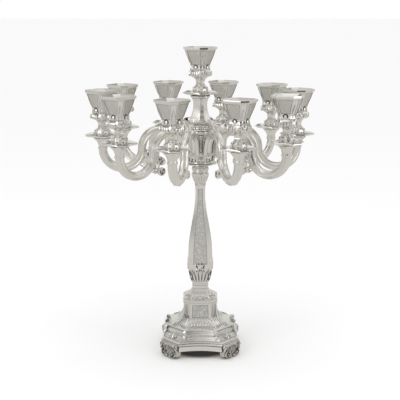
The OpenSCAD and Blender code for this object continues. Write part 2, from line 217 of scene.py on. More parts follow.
def recess_group():
    """Darkening in hollows, partly tarnished silver and partly painted shade: a colour that darkens where
    nearby metal shades it.
    """
    group = bpy.data.node_groups.new("tarnish_and_painted_shade_in_hollows", "ShaderNodeTree")
    sockets = group.interface
    for name, kind in (("Bright", "NodeSocketColor"), ("Tarnish and shade", "NodeSocketColor"),
                       ("Reach", "NodeSocketFloat"), ("Amount", "NodeSocketFloat")):
        sockets.new_socket(name, in_out="INPUT", socket_type=kind)
    sockets.new_socket("Color", in_out="OUTPUT", socket_type="NodeSocketColor")
    sockets.new_socket("Hollow", in_out="OUTPUT", socket_type="NodeSocketFloat")
    given = group.nodes.new("NodeGroupInput")
    result = group.nodes.new("NodeGroupOutput")
    shade = group.nodes.new("ShaderNodeAmbientOcclusion")
    shade.samples = 8
    hollow = group.nodes.new("ShaderNodeMapRange")
    hollow.inputs["From Min"].default_value = 0.82
    hollow.inputs["From Max"].default_value = 0.30
    scaled = group.nodes.new("ShaderNodeMath")
    scaled.operation = "MULTIPLY"
    mix = group.nodes.new("ShaderNodeMixRGB")
    link = group.links.new
    link(given.outputs["Reach"], shade.inputs["Distance"])
    link(shade.outputs["AO"], hollow.inputs["Value"])
    link(hollow.outputs["Result"], scaled.inputs[0])
    link(given.outputs["Amount"], scaled.inputs[1])
    link(scaled.outputs[0], mix.inputs["Fac"])
    link(given.outputs["Bright"], mix.inputs["Color1"])
    link(given.outputs["Tarnish and shade"], mix.inputs["Color2"])
    link(mix.outputs["Color"], result.inputs["Color"])
    link(scaled.outputs[0], result.inputs["Hollow"])
    return group


def handling_group():
    """Years of polishing: soft cloudy changes of gloss, and fine marks in the surface."""
    group = bpy.data.node_groups.new("polishing_marks", "ShaderNodeTree")
    sockets = group.interface
    for name in ("Gloss", "Spread", "Scale", "Hollow"):
        sockets.new_socket(name, in_out="INPUT", socket_type="NodeSocketFloat")
    for name in ("Roughness", "Height"):
        sockets.new_socket(name, in_out="OUTPUT", socket_type="NodeSocketFloat")
    given = group.nodes.new("NodeGroupInput")
    result = group.nodes.new("NodeGroupOutput")
    place = group.nodes.new("ShaderNodeTexCoord")
    clouds = group.nodes.new("ShaderNodeTexNoise")
    clouds.inputs["Detail"].default_value = 4
    fine = group.nodes.new("ShaderNodeTexNoise")
    fine.inputs["Detail"].default_value = 3
    finer = group.nodes.new("ShaderNodeMath")
    finer.operation = "MULTIPLY"
    finer.inputs[1].default_value = 9
    spread = group.nodes.new("ShaderNodeMath")
    spread.operation = "MULTIPLY_ADD"
    dull = group.nodes.new("ShaderNodeMath")
    dull.operation = "MULTIPLY_ADD"
    dull.inputs[1].default_value = 0.25
    link = group.links.new
    link(place.outputs["Object"], clouds.inputs["Vector"])
    link(place.outputs["Object"], fine.inputs["Vector"])
    link(given.outputs["Scale"], clouds.inputs["Scale"])
    link(given.outputs["Scale"], finer.inputs[0])
    link(finer.outputs[0], fine.inputs["Scale"])
    link(clouds.outputs["Fac"], spread.inputs[0])
    link(given.outputs["Spread"], spread.inputs[1])
    link(given.outputs["Gloss"], spread.inputs[2])
    link(given.outputs["Hollow"], dull.inputs[0])
    link(spread.outputs[0], dull.inputs[2])
    link(dull.outputs[0], result.inputs["Roughness"])
    link(fine.outputs["Fac"], result.inputs["Height"])
    return group


# partly tarnished silver, partly painted shade: every silver colour darkens towards near-black where nearby
# metal shades it
HOLLOW_TARNISH_AND_SHADE = recess_group()
HANDLING = handling_group()
WARM_SILVER = (0.86, 0.845, 0.81, 1)
BLACK_TARNISH_AND_SHADE = (0.10, 0.09, 0.075, 1)


def silver(name, tone=WARM_SILVER, roughness=0.16, spread=0.1, reach=3.5, tarnish_and_shade=0.8,
           mark_scale=60, mark_height=0.15, chasing=None):
    """Silvered brass; chasing is a node group that gives a Height for tooled fields."""
    paint = bpy.data.materials.new(name)
    paint.use_nodes = True
    nodes, link = paint.node_tree.nodes, paint.node_tree.links.new
    shader = nodes["Principled BSDF"]
    shader.inputs["Metallic"].default_value = 1
    hollow = nodes.new("ShaderNodeGroup")
    hollow.node_tree = HOLLOW_TARNISH_AND_SHADE
    hollow.inputs["Bright"].default_value = tone
    hollow.inputs["Tarnish and shade"].default_value = BLACK_TARNISH_AND_SHADE
    hollow.inputs["Reach"].default_value = reach * MM
    hollow.inputs["Amount"].default_value = tarnish_and_shade
    marks = nodes.new("ShaderNodeGroup")
    marks.node_tree = HANDLING
    marks.inputs["Gloss"].default_value = roughness
    marks.inputs["Spread"].default_value = spread
    marks.inputs["Scale"].default_value = mark_scale
    relief = nodes.new("ShaderNodeBump")
    relief.inputs["Strength"].default_value = mark_height
    relief.inputs["Distance"].default_value = 0.4 * MM
    link(hollow.outputs["Color"], shader.inputs["Base Color"])
    link(hollow.outputs["Hollow"], marks.inputs["Hollow"])
    link(marks.outputs["Roughness"], shader.inputs["Roughness"])
    link(marks.outputs["Height"], relief.inputs["Height"])
    link(relief.outputs["Normal"], shader.inputs["Normal"])
    if chasing:
        tooled = nodes.new("ShaderNodeGroup")
        tooled.node_tree = chasing
        cut = nodes.new("ShaderNodeBump")
        cut.inputs["Strength"].default_value = 0.75
        cut.inputs["Distance"].default_value = 0.5 * MM
        link(tooled.outputs["Height"], cut.inputs["Height"])
        link(relief.outputs["Normal"], cut.inputs["Normal"])
        link(cut.outputs["Normal"], shader.inputs["Normal"])
        shadow = nodes.new("ShaderNodeMixRGB")
        shadow.blend_type = "MULTIPLY"
        shadow.inputs["Fac"].default_value = 0.42
        link(hollow.outputs["Color"], shadow.inputs["Color1"])
        link(tooled.outputs["Height"], shadow.inputs["Color2"])
        link(shadow.outputs["Color"], shader.inputs["Base Color"])
    return paint


def pull(name, rings):
    """Extrudes a filled circle from ring to ring and sets each ring's points, in mm."""
    bpy.ops.object.select_all(action="DESELECT")
    bpy.ops.mesh.primitive_circle_add(vertices=len(rings[0]), radius=1, fill_type="NGON")
    piece = bpy.context.object
    piece.name = name
    bpy.ops.object.mode_set(mode="EDIT")
    mesh = bmesh.from_edit_mesh(piece.data)
    mesh.faces.ensure_lookup_table()
    loop = list(mesh.faces[0].verts)
    for vert, point in zip(loop, rings[0]):
        vert.co = Vector(point) * MM
    for before, after in zip(rings, rings[1:]):
        bpy.ops.mesh.extrude_region_move()
        mesh = bmesh.from_edit_mesh(piece.data)
        moved = [v for v in mesh.verts if v.select]
        for vert in moved:
            here = vert.co / MM
            k = min(range(len(before)), key=lambda j: (here - Vector(before[j])).length_squared)
            vert.co = Vector(after[k]) * MM
    bpy.ops.mesh.select_all(action="SELECT")
    bpy.ops.mesh.normals_make_consistent(inside=False)
    bpy.ops.object.mode_set(mode="OBJECT")
    return piece


def wall(turn, out, across, z, roll=0, lean=0):
    """A place on an upright wall: x along the wall, y outward, z up; turn is the wall's direction."""
    face = Matrix.Rotation(math.radians(turn), 4, "Z")
    spot = face @ Vector((out, across, z)) * MM
    upright = Matrix.Rotation(math.radians(turn - 90), 4, "Z")
    tilt = Matrix.Rotation(math.radians(roll), 4, "Y") @ Matrix.Rotation(math.radians(lean), 4, "X")
    return Matrix.Translation(spot) @ upright @ tilt


def bud(place, length, width, depth, taper=0.55, segments=8, rows=6):
    """A raised drop in mm, its blunt end down, set at a wall place."""
    bpy.ops.object.select_all(action="DESELECT")
    bpy.ops.mesh.primitive_uv_sphere_add(segments=segments, ring_count=rows, radius=1)
    piece = bpy.context.object
    for vert in piece.data.vertices:
        thin = 1 - taper * max(vert.co.z, 0)
        vert.co.x *= thin * width * MM
        vert.co.y *= thin * depth * MM
        vert.co.z *= length * MM
    piece.data.transform(place)
    return piece


def spiral(centre, start_r, end_r, turns, width, thick, place, hand=1, first=90, steps=9):
    """A volute: a strip pulled along a closing spiral in the plane of a wall place."""
    rings = []
    count = max(int(steps * turns), 4)
    for k in range(count + 1):
        t = k / count
        angle = math.radians(first) + hand * 2 * math.pi * turns * t
        r = start_r + (end_r - start_r) * t
        half = thick * (1 - 0.45 * t) / 2
        depth = width * (1 - 0.15 * t) / 2
        ring = []
        for along, side in ((-1, -1), (1, -1), (1, 0.45), (0, 1), (-1, 0.45)):
            reach = r + along * half
            point = Vector((centre[0] + reach * math.cos(angle), side * depth,
                            centre[1] + reach * math.sin(angle)))
            ring.append(place @ (point * MM) / MM)
        rings.append(ring)
    return pull("volute", rings)


def join(parts, name, smooth=32):
    """Makes one piece of several, with its edges kept crisp above the smooth angle."""
    for part in parts[1:]:
        if parts[0].data.materials and not part.data.materials:
            part.data.materials.append(parts[0].data.materials[0])
    bpy.ops.object.select_all(action="DESELECT")
    for part in parts:
        part.select_set(True)
    bpy.context.view_layer.objects.active = parts[0]
    bpy.ops.object.join()
    piece = bpy.context.object
    piece.name = name
    bpy.ops.object.shade_smooth_by_angle(angle=math.radians(smooth))
    return piece


def twin(piece, name, place):
    """A copy with its own mesh, moved by a matrix that goes into the mesh."""
    other = piece.copy()
    other.data = piece.data.copy()
    other.name = name
    other.data.name = name
    other.data.transform(place)
    bpy.context.scene.collection.objects.link(other)
    return other


def discard(piece):
    bpy.data.objects.remove(piece, do_unlink=True)


FOOT_FRONT = 81.6
foot_profile = (
    # height, half width, front, bulge of the front
    (0, 14.5, 74.5, 1.5), (1.2, 17.0, 76.6, 2.0), (4, 20.0, 79.8, 3.0), (8, 21.6, 81.6, 4.0),
    (12, 22.0, 82.0, 3.5), (16, 22.2, 81.8, 2.5), (20, 22.6, 81.6, 2.0), (24, 22.8, 81.8, 1.8),
    (26.6, 22.4, 81.6, 1.6), (27.8, 21.0, 80.6, 1.5),
)
rings = []
for z, half, front, bulge in foot_profile:
    back = 63.5 if z < 14 else 74.5
    ring = [(front - bulge * (k / 6) ** 2, half * k / 6, z) for k in range(-6, 7)]
    ring += [(back, half * 0.9, z), (back, 0, z), (back, -half * 0.9, z)]
    rings.append(ring)
foot_parts = [pull("foot_body", rings)]
for side in (-1, 1):
    volute_spot = wall(0, FOOT_FRONT, side * 10.8, 9.2)
    foot_parts.append(spiral((0, 0), 7.2, 1.2, 1.7, 5.0, 2.6, volute_spot, hand=side, first=90, steps=12))
    foot_parts.append(bud(wall(0, FOOT_FRONT + 1.4, side * 10.8, 9.2), 1.9, 1.9, 1.9, taper=0))
    foot_parts.append(bud(wall(0, FOOT_FRONT - 1, side * 18.6, 19, roll=side * 12), 7.5, 3.2, 2.6))
    foot_parts.append(spiral((0, 0), 4.4, 1.0, 1.3, 4.0, 2.2, wall(0, FOOT_FRONT - 0.6, side * 17.4, 22.4),
                             hand=-side, first=-90, steps=10))
    foot_parts.append(bud(wall(0, FOOT_FRONT, side * 4.4, 4.0), 3.6, 2.6, 2.2, taper=0.2))
for k in range(-3, 4):
    tip = wall(0, FOOT_FRONT - 0.4, 2.9 * k, 18.5 - 0.5 * abs(k), roll=-13 * k)
    foot_parts.append(bud(tip, 7.0 - 0.5 * abs(k), 1.5, 2.1, taper=-0.35))
foot_parts.append(bud(wall(0, FOOT_FRONT + 0.2, 0, 10.5), 2.6, 2.6, 2.6, taper=0))
foot = join(foot_parts, "foot_pattern", smooth=38)
subdivided = foot.modifiers.new("finer", "SUBSURF")
subdivided.levels = 1
subdivided.render_levels = 1
bpy.ops.object.modifier_apply(modifier=subdivided.name)
cast_ground = bpy.data.textures.new("cast_ground", "CLOUDS")
cast_ground.noise_scale = 2.6 * MM
rough = foot.modifiers.new("cast", "DISPLACE")
rough.texture = cast_ground
rough.texture_coords = "LOCAL"
rough.strength = 3.0 * MM
rough.mid_level = 0.6
bpy.ops.object.modifier_apply(modifier=rough.name)
for vert in foot.data.vertices:
    vert.co.z = max(vert.co.z, 0)
cast_silver = silver("cast_feet", (0.66, 0.645, 0.61, 1), roughness=0.16, spread=0.25, reach=5.5,
                     tarnish_and_shade=1.0, mark_scale=160, mark_height=0.6)
foot.data.materials.append(cast_silver)
for k, corner in enumerate(("foot_back_right", "foot_back_left", "foot_front_left", "foot_front_right")):
    piece = twin(foot, corner + "_cast", Matrix.Rotation(math.radians(45 + 90 * k), 4, "Z"))
    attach(piece, "stand")
    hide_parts(corner)
discard(foot)


# ---------------------------------------------------------------- plinth
# A flat frame of silvered brass: chamfered corners, long sides drawn in, a plain
# polished band between two fine edges, open below. It rests on the feet.
SIDE_STEPS = 12


def base_ring(z, half, side, dip):
    """Outline of the base at one height: drawn-in long sides, straight chamfers."""
    ring = []
    for quarter in range(4):
        turn = math.radians(90 * quarter)
        for k in range(SIDE_STEPS + 1):
            u = 2 * k / SIDE_STEPS - 1
            x, y = u * side, dip * (1 - u * u) - half
            ring.append((x * math.cos(turn) - y * math.sin(turn),
                         x * math.sin(turn) + y * math.cos(turn), z))
    return ring


plinth_tiers = (
    (24.5, 59, 25.5, 5.5), (14.6, 60, 26, 5.5), (14.5, 68.9, 37.7, 6.5), (15.2, 69.9, 38.3, 6.5),
    (16.6, 70.2, 38.4, 6.5), (17.2, 69.5, 38.2, 6.5), (23.5, 69.4, 38.2, 6.5), (24.0, 67.6, 37.4, 6.5),
    (25.0, 67.6, 37.4, 6.5), (25.3, 70.8, 38.9, 6.5), (27.4, 71.0, 39.0, 6.5),
    (28.3, 70.4, 38.8, 6.5), (28.5, 68.6, 38.4, 6.5),
)
plinth = join([pull("plinth_frame", [base_ring(*tier) for tier in plinth_tiers])], "plinth_frame", 24)
base_silver = silver("base_silver", roughness=0.22, spread=0.12, reach=4.0, tarnish_and_shade=0.8)
plinth.data.materials.append(base_silver)
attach(plinth, "stand")
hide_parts("base_plinth")


# ---------------------------------------------------------------- pedestal
# A hollow casting that climbs in mouldings from the plinth to an eight-sided block.
# Each long side has a sunk engraved field over an apron of petals; the chamfers carry
# rough panels below and flutes above, with a scroll bracket on every lower edge.
pedestal_tiers = (
    (28.6, 68.6, 38.6, 6.5), (29.4, 68.9, 38.7, 6.5), (30.2, 68.0, 38.2, 6.4), (30.6, 66.4, 37.2, 6.2),
    (31.6, 66.2, 36.8, 6.2), (33.2, 67.0, 36.2, 6.1), (35.6, 66.2, 34.8, 6.0), (37.2, 64.8, 33.4, 5.7),
    (38.2, 63.4, 32.2, 5.3), (39.8, 62.6, 31.0, 5.0), (40.4, 60.4, 28.6, 4.2), (41.6, 60.0, 27.8, 4.0),
    (42.2, 60.6, 27.8, 4.0), (44.4, 60.0, 27.2, 4.0), (46.0, 58.7, 26.6, 4.0), (48.0, 57.6, 26.0, 4.0),
    (48.6, 58.2, 26.0, 4.0), (50.4, 57.4, 25.6, 4.0), (51.2, 55.8, 25.2, 3.6), (52.2, 53.6, 24.6, 3.0),
    (53.4, 49.0, 23.6, 2.5), (54.6, 45.6, 22.8, 2.2), (56, 42.5, 22, 2), (58, 39.2, 21.2, 1.5),
    (60, 36.5, 20.4, 1), (62.5, 34.3, 19.8, 0.7), (65, 32.6, 19.3, 0.5), (68, 31.4, 19.0, 0.4),
    (71, 30.7, 18.8, 0.3), (77, 30.4, 18.7, 0.3), (84, 30.2, 18.6, 0.3), (90.2, 30.0, 18.5, 0.3),
    (90.8, 30.9, 19.0, 0.3), (92.6, 31.1, 19.2, 0.3), (93.2, 30.3, 18.7, 0.3), (95.4, 30.2, 18.7, 0.3),
)


def chamfer_out(z):
    """Distance of the pedestal's chamfer from the middle, at one height."""
    for low, high in zip(pedestal_tiers, pedestal_tiers[1:]):
        if low[0] <= z <= high[0]:
            t = (z - low[0]) / (high[0] - low[0])
            return (low[1] + low[2] + t * (high[1] + high[2] - low[1] - low[2])) / math.sqrt(2)


def side_out(z):
    """Distance of the middle of a long side of the pedestal, at one height."""
    for low, high in zip(pedestal_tiers, pedestal_tiers[1:]):
        if low[0] <= z <= high[0]:
            t = (z - low[0]) / (high[0] - low[0])
            return low[1] - low[3] + t * (high[1] - high[3] - low[1] + low[3])


def sink_fields(piece, chosen, edge, depth, slot, line=0.35, line_slot=0):
    """Insets the chosen faces and pushes the field in, with a line round it: the sunk wall takes line_slot,
    which the callers give the painted groove shade.
    """
    bpy.ops.object.select_all(action="DESELECT")
    piece.select_set(True)
    bpy.context.view_layer.objects.active = piece
    bpy.ops.object.mode_set(mode="EDIT")
    bpy.ops.mesh.select_all(action="DESELECT")
    bpy.ops.mesh.select_mode(type="FACE")
    mesh = bmesh.from_edit_mesh(piece.data)
    for face in mesh.faces:
        face.select = chosen(face.calc_center_median() / MM, face.normal)
    bmesh.update_edit_mesh(piece.data)
    bpy.ops.mesh.inset(thickness=edge * MM, depth=0)
    before = len(bmesh.from_edit_mesh(piece.data).faces)
    bpy.ops.mesh.inset(thickness=line * MM, depth=-depth * MM)
    mesh = bmesh.from_edit_mesh(piece.data)
    mesh.faces.index_update()
    for face in mesh.faces:
        if face.select:
            face.material_index = slot
        elif face.index >= before:
            face.material_index = line_slot
    bmesh.update_edit_mesh(piece.data)
    bpy.ops.object.mode_set(mode="OBJECT")


def chasing_group(name, scale, swirl, ground):
    """Tooled scrollwork: curling ribs over a matted ground, worked at the given scale."""
    group = bpy.data.node_groups.new(name, "ShaderNodeTree")
    group.interface.new_socket("Height", in_out="OUTPUT", socket_type="NodeSocketFloat")
    result = group.nodes.new("NodeGroupOutput")
    place = group.nodes.new("ShaderNodeTexCoord")
    bend = group.nodes.new("ShaderNodeTexNoise")
    bend.inputs["Scale"].default_value = scale * 0.45
    bend.inputs["Detail"].default_value = 1
    shifted = group.nodes.new("ShaderNodeVectorMath")
    shifted.operation = "MULTIPLY_ADD"
    shifted.inputs[1].default_value = (swirl, swirl, swirl)
    cells = group.nodes.new("ShaderNodeTexVoronoi")
    cells.feature = "DISTANCE_TO_EDGE"
    cells.inputs["Scale"].default_value = scale
    ribs = group.nodes.new("ShaderNodeMapRange")
    ribs.inputs["From Max"].default_value = 0.28
    ribs.inputs["To Min"].default_value = 0.25
    matting = group.nodes.new("ShaderNodeTexVoronoi")
    matting.inputs["Scale"].default_value = ground
    dots = group.nodes.new("ShaderNodeMapRange")
    dots.inputs["From Max"].default_value = 0.6
    dots.inputs["To Min"].default_value = 1
    dots.inputs["To Max"].default_value = 0.62
    both = group.nodes.new("ShaderNodeMath")
    both.operation = "MULTIPLY"
    link = group.links.new
    link(place.outputs["Object"], bend.inputs["Vector"])
    link(bend.outputs["Color"], shifted.inputs[0])
    link(place.outputs["Object"], shifted.inputs[2])
    link(shifted.outputs["Vector"], cells.inputs["Vector"])
    link(cells.outputs["Distance"], ribs.inputs["Value"])
    link(place.outputs["Object"], matting.inputs["Vector"])
    link(matting.outputs["Distance"], dots.inputs["Value"])
    link(ribs.outputs["Result"], both.inputs[0])
    link(dots.outputs["Result"], both.inputs[1])
    link(both.outputs[0], result.inputs["Height"])
    return group


def rod(path, radius, name="rod"):
    """A thin round rib laid along points in mm."""
    rings = []
    for k, point in enumerate(path):
        ahead = Vector(path[min(k + 1, len(path) - 1)]) - Vector(path[max(k - 1, 0)])
        ahead.normalize()
        side = ahead.cross(Vector((0, 0, 1)) if abs(ahead.z) < 0.9 else Vector((1, 0, 0))).normalized()
        up = side.cross(ahead)
        r = radius * (0.55 if k in (0, len(path) - 1) else 1)
        rings.append([Vector(point) + r * (math.cos(a) * side + math.sin(a) * up)
                      for a in (math.pi / 3 * j for j in range(6))])
    return pull(name, rings)


pedestal = pull("pedestal_casting", [base_ring(*tier) for tier in pedestal_tiers])
scrollwork = chasing_group("scrollwork_on_pedestal", 150, 0.012, 900)
field_silver = silver("engraved_field", (0.90, 0.885, 0.85, 1), roughness=0.38, spread=0.1, reach=3,
                      tarnish_and_shade=0.5, chasing=scrollwork)
rough_panel = chasing_group("leafwork_on_corners", 260, 0.009, 700)
panel_silver = silver("corner_panel", (0.95, 0.935, 0.90, 1), roughness=0.5, spread=0.15, reach=3,
                      tarnish_and_shade=0.7, chasing=rough_panel)
# painted shade: a dark material for the sunk walls round the fields and for the dark shapes put in the
# shaft's hollows
groove_shade = silver("painted_groove_shade", (0.20, 0.19, 0.175, 1), roughness=0.35, spread=0.2, reach=3, tarnish_and_shade=0.9)
for paint in (base_silver, field_silver, panel_silver, groove_shade):
    pedestal.data.materials.append(paint)


def in_field(centre, normal):
    facing = max(abs(centre.x), abs(centre.y))
    beside = min(abs(centre.x), abs(centre.y))
    return 64 < centre.z < 90.0 and beside < 15 and facing > 27


def in_corner_panel(centre, normal):
    outward = (abs(centre.x) + abs(centre.y)) / math.sqrt(2)
    return 31.6 < centre.z < 49.6 and abs(abs(centre.x) - abs(centre.y)) < 4 and outward > 55


sink_fields(pedestal, in_field, 1.2, 0.7, 1, line=0.7, line_slot=3)
sink_fields(pedestal, in_corner_panel, 1.6, 0.5, 2, line=0.7, line_slot=3)
parts = [pedestal]
for quarter in range(4):
    side_turn = 90 * quarter
    for k in range(-3, 4):
        # petals of the apron
        z = 57.6 - 0.25 * abs(k)
        petal = wall(side_turn, side_out(z) + 0.1, 5.2 * k, z, roll=-5 * k, lean=54)
        parts.append(bud(petal, 6.6, 2.7, 1.4, taper=0.35, segments=10))
    for k in range(-3, 3):
        bead = wall(side_turn, side_out(62.4) + 0.3, 5.2 * (k + 0.5), 62.4)
        parts.append(bud(bead, 1.4, 1.2, 1.0, taper=0))
    for k in (-1, 1):
        # leaves and stems in the engraved field
        parts.append(bud(wall(side_turn, side_out(76) - 0.5, 3.2 * k, 71, roll=24 * k), 4.0, 1.4, 0.8))
        stem = [Matrix.Rotation(math.radians(side_turn), 3, "Z") @ Vector((side_out(z) - 0.4, across * k, z))
                for across, z in ((1.0, 70), (6.5, 73), (8.2, 78), (5.5, 82), (3.0, 79.5), (5.0, 77.5))]
        parts.append(rod(stem, 0.5))
    parts.append(bud(wall(side_turn, side_out(76) - 0.5, 0, 74), 6.4, 1.4, 0.9))
    for across in (-16.6, 16.6):
        frame_line = [Matrix.Rotation(math.radians(side_turn), 3, "Z")
                      @ Vector((side_out(z) + 0.1, across, z))
                      for z in (65, 70, 78, 89.4)]
        parts.append(rod(frame_line, 0.7))
    corner_turn = side_turn + 45
    for across in (-5.4, -1.8, 1.8, 5.4):
        # flutes of the corner, spreading over the foot of the block
        flute = []
        for z in (54.6, 57, 60, 64, 70, 78, 89):
            spread = 1 + max(0, 64 - z) * 0.05
            spot = Vector((chamfer_out(z) + 0.1, across * spread, z))
            flute.append(Matrix.Rotation(math.radians(corner_turn), 3, "Z") @ spot)
        parts.append(rod(flute, 1.25))
    for k in range(-3, 4):
        # fan in the shadow at the foot of the flutes
        fan = wall(corner_turn, chamfer_out(53) + 0.4, 4.6 * k, 53.2 + 0.2 * abs(k), roll=-9 * k, lean=62)
        parts.append(bud(fan, 4.2, 1.5, 1.3, taper=0.5))
    for k in (-2, -1, 1, 2):
        fleur = wall(corner_turn, chamfer_out(36.6) + 0.1, 3.6 * k, 37 + abs(k), roll=30 * k, lean=34)
        parts.append(bud(fleur, 5.0 - abs(k), 1.5, 1.2, taper=0.4))
    parts.append(bud(wall(corner_turn, chamfer_out(37) + 0.1, 0, 38, lean=34), 6.4, 1.8, 1.4))
    for z, radius in ((51.8, 1.0), (49.4, 0.8), (30.4, 0.9)):
        low = next(tier for tier in pedestal_tiers if tier[0] >= z)
        a = Matrix.Rotation(math.radians(side_turn), 3, "Z") @ Vector((low[1], low[2], z))
        b = Matrix.Rotation(math.radians(side_turn), 3, "Z") @ Vector((low[2], low[1], z))
        parts.append(rod([a, a.lerp(b, 0.5), b], radius))
    for side in (-1, 1):
        # scroll bracket on the edge of the step
        bracket = Matrix.Rotation(math.radians(side_turn), 4, "Z") @ Matrix.Translation(
            Vector((58.6, side * 26.4, 0)) * MM) @ Matrix.Rotation(math.radians(side * 22.5), 4, "Z")
        parts.append(spiral((0.6, 48.0), 4.4, 0.9, 1.5, 4.6, 2.1, bracket, hand=1, first=-100, steps=10))
        parts.append(spiral((4.0, 38.2), 3.9, 0.9, 1.4, 4.6, 2.1, bracket, hand=-1, first=100, steps=10))
        outer = [bracket @ (Vector((x, 0, z)) * MM) / MM for x, z in ((-0.6, 45.4), (0.2, 43.4), (1.6, 41.6))]
        parts.append(rod(outer, 1.8))
        parts.append(bud(bracket @ Matrix.Translation(Vector((3.4, 0, 43.4)) * MM), 2.2, 1.4, 1.6, taper=0))
pedestal = join(parts, "pedestal_casting", 30)
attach(pedestal, "stand")
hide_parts("base_pedestal")


# ---------------------------------------------------------------- pedestal cap
# A separate moulded cap, hollowed under a crisp upper plate whose corners turn up,
# with a leaf pair in the hollow of each chamfer. The tie rod clamps it down.
cap_tiers = (
    (95.5, 30.4, 18.8, 0.3), (95.9, 31.2, 19.3, 0.3), (97.6, 31.4, 19.4, 0.4), (98.4, 31.0, 19.1, 0.4),
    (98.5, 29.4, 18.3, 0.4), (99.4, 27.2, 16.9, 0.3), (100.8, 24.4, 15.1, 0.3), (102.6, 21.6, 13.3, 0.3),
    (104.6, 19.2, 11.7, 0.3), (106.2, 17.7, 10.7, 0.3), (106.8, 17.9, 10.8, 0.3), (107.8, 17.7, 10.7, 0.3),
    (108.3, 16.4, 9.9, 0.3), (109.4, 16.0, 9.6, 0.3),
)
parts = [pull("cap_moulding", [base_ring(*tier) for tier in cap_tiers])]
for quarter in range(4):
    corner_turn = 90 * quarter + 45
    for side in (-1, 1):
        # leaf pair that runs down each corner and turns up at its tip
        leaf = wall(corner_turn, 26.8, side * 4.6, 101.6, roll=-side * 24, lean=62)
        parts.append(bud(leaf, 7.0, 2.1, 1.8, taper=0.35))
        parts.append(bud(wall(90 * quarter, 24.0, side * 7.0, 101.2, roll=side * 50, lean=60), 4.0, 1.5, 1.2))
    parts.append(bud(wall(corner_turn, 27.4, 0, 101.4, lean=62), 7.4, 1.7, 1.7, taper=0.3))
    parts.append(bud(wall(90 * quarter, 23.4, 0, 101.6, lean=60), 4.4, 3.2, 1.4, taper=0.5))
cap = join(parts, "cap_moulding", 26)
cap.data.materials.append(base_silver)
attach(cap, "stand")
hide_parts("pedestal_cap")


# ---------------------------------------------------------------- collar
# An eight-sided collar between cap and shaft, in the shaft's own outline: two
# polished bands with grooves between them, threaded on the tie rod.
NARROW_HALF = 14
NARROW_STEPS = 2
WIDE_STEPS = 6


def octagon_ring(z, radius, turn, lobe=0):
    """Eight-sided ring with wide and narrow faces; lobe swells the middle of each face."""
    ring = []
    corners = [turn + 90 * q + side * NARROW_HALF for q in range(4) for side in (-1, 1)]
    for k, corner in enumerate(corners):
        a = math.radians(corner)
        b = math.radians(corners[(k + 1) % 8] + (360 if k == 7 else 0))
        steps = NARROW_STEPS if k % 2 == 0 else WIDE_STEPS
        for j in range(steps):
            t = j / steps
            x = radius * (math.cos(a) * (1 - t) + math.cos(b) * t)
            y = radius * (math.sin(a) * (1 - t) + math.sin(b) * t)
            swell = 1 + lobe * math.sin(math.pi * t)
            ring.append((x * swell, y * swell, z))
    return ring


collar_tiers = (
    (109.5, 17.9), (110.4, 17.9), (111.4, 17.3), (114.2, 16.7), (114.8, 15.9), (115.6, 15.9), (116.2, 16.8),
    (117.0, 17.1), (120.2, 17.1), (121.0, 16.8), (121.6, 16.0), (122.3, 16.0), (122.9, 16.8), (123.8, 17.1),
    (125.2, 17.0), (125.9, 16.6),
)
collar = join([pull("collar_bands", [octagon_ring(z, r, 45) for z, r in collar_tiers])], "collar_bands", 26)
collar.data.materials.append(base_silver)
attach(collar, "stand")
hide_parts("base_collar")


# ---------------------------------------------------------------- baluster shaft
# An eight-sided vase-shaped column: four wide satin faces, engraved inside a fine
# border, and four narrow polished ones. Leaves crown the belly over reeded feet.
def smooth_profile(tiers, steps):
    """Points of a flowing curve through the tiers, each (height, radius, ...)."""
    rows = []
    for k in range(len(tiers) - 1):
        p0, p1 = tiers[max(k - 1, 0)], tiers[k]
        p2, p3 = tiers[k + 1], tiers[min(k + 2, len(tiers) - 1)]
        for j in range(steps):
            t = j / steps
            row = []
            for a, b, c, d in zip(p0, p1, p2, p3):
                row.append(0.5 * (2 * b + (c - a) * t + (2 * a - 5 * b + 4 * c - d) * t * t
                                  + (3 * b - a - 3 * c + d) * t ** 3))
            rows.append(tuple(row))
    rows.append(tiers[-1])
    return rows


shaft_tiers = (
    (126, 16.9), (128, 17.2), (132, 18.9), (144, 22.2), (154, 25.0), (160, 25.9), (170, 25.8), (192, 24.6),
    (213, 21.6), (235, 17.5), (256, 13.3), (279, 10.4), (297, 10.2), (307, 10.9),
)
shaft_rows = smooth_profile(shaft_tiers, 3)


def shaft_face(z, narrow=False):
    """Distance of a shaft face from the middle at one height."""
    for low, high in zip(shaft_rows, shaft_rows[1:]):
        if low[0] <= z <= high[0]:
            r = low[1] + (z - low[0]) / (high[0] - low[0]) * (high[1] - low[1])
            return r * math.cos(math.radians(NARROW_HALF if narrow else 45 - NARROW_HALF))


shaft = pull("baluster", [octagon_ring(z, r, 45) for z, r in shaft_rows])
shaft_silver = silver("shaft_silver", roughness=0.14, spread=0.1, reach=3.5, tarnish_and_shade=0.8)
shaft_scrollwork = chasing_group("scrollwork_on_shaft", 190, 0.010, 1100)
shaft_field = silver("shaft_field", (0.93, 0.915, 0.88, 1), roughness=0.42, spread=0.1, reach=3,
                     tarnish_and_shade=0.3, chasing=shaft_scrollwork)
for paint in (shaft_silver, shaft_field, groove_shade):
    shaft.data.materials.append(paint)


def on_wide_face(centre, normal):
    angle = math.degrees(math.atan2(centre.y, centre.x)) % 90
    return 164 < centre.z < 300 and min(angle, 90 - angle) < 45 - NARROW_HALF


def reed_path(turn, k, proud, heights):
    """Points up a wide face for reed number k, which leans outward as it rises."""
    facing = Matrix.Rotation(math.radians(turn), 3, "Z")
    return [facing @ Vector((shaft_face(z) + proud, k * (0.145 * z - 14.4), z)) for z in heights]


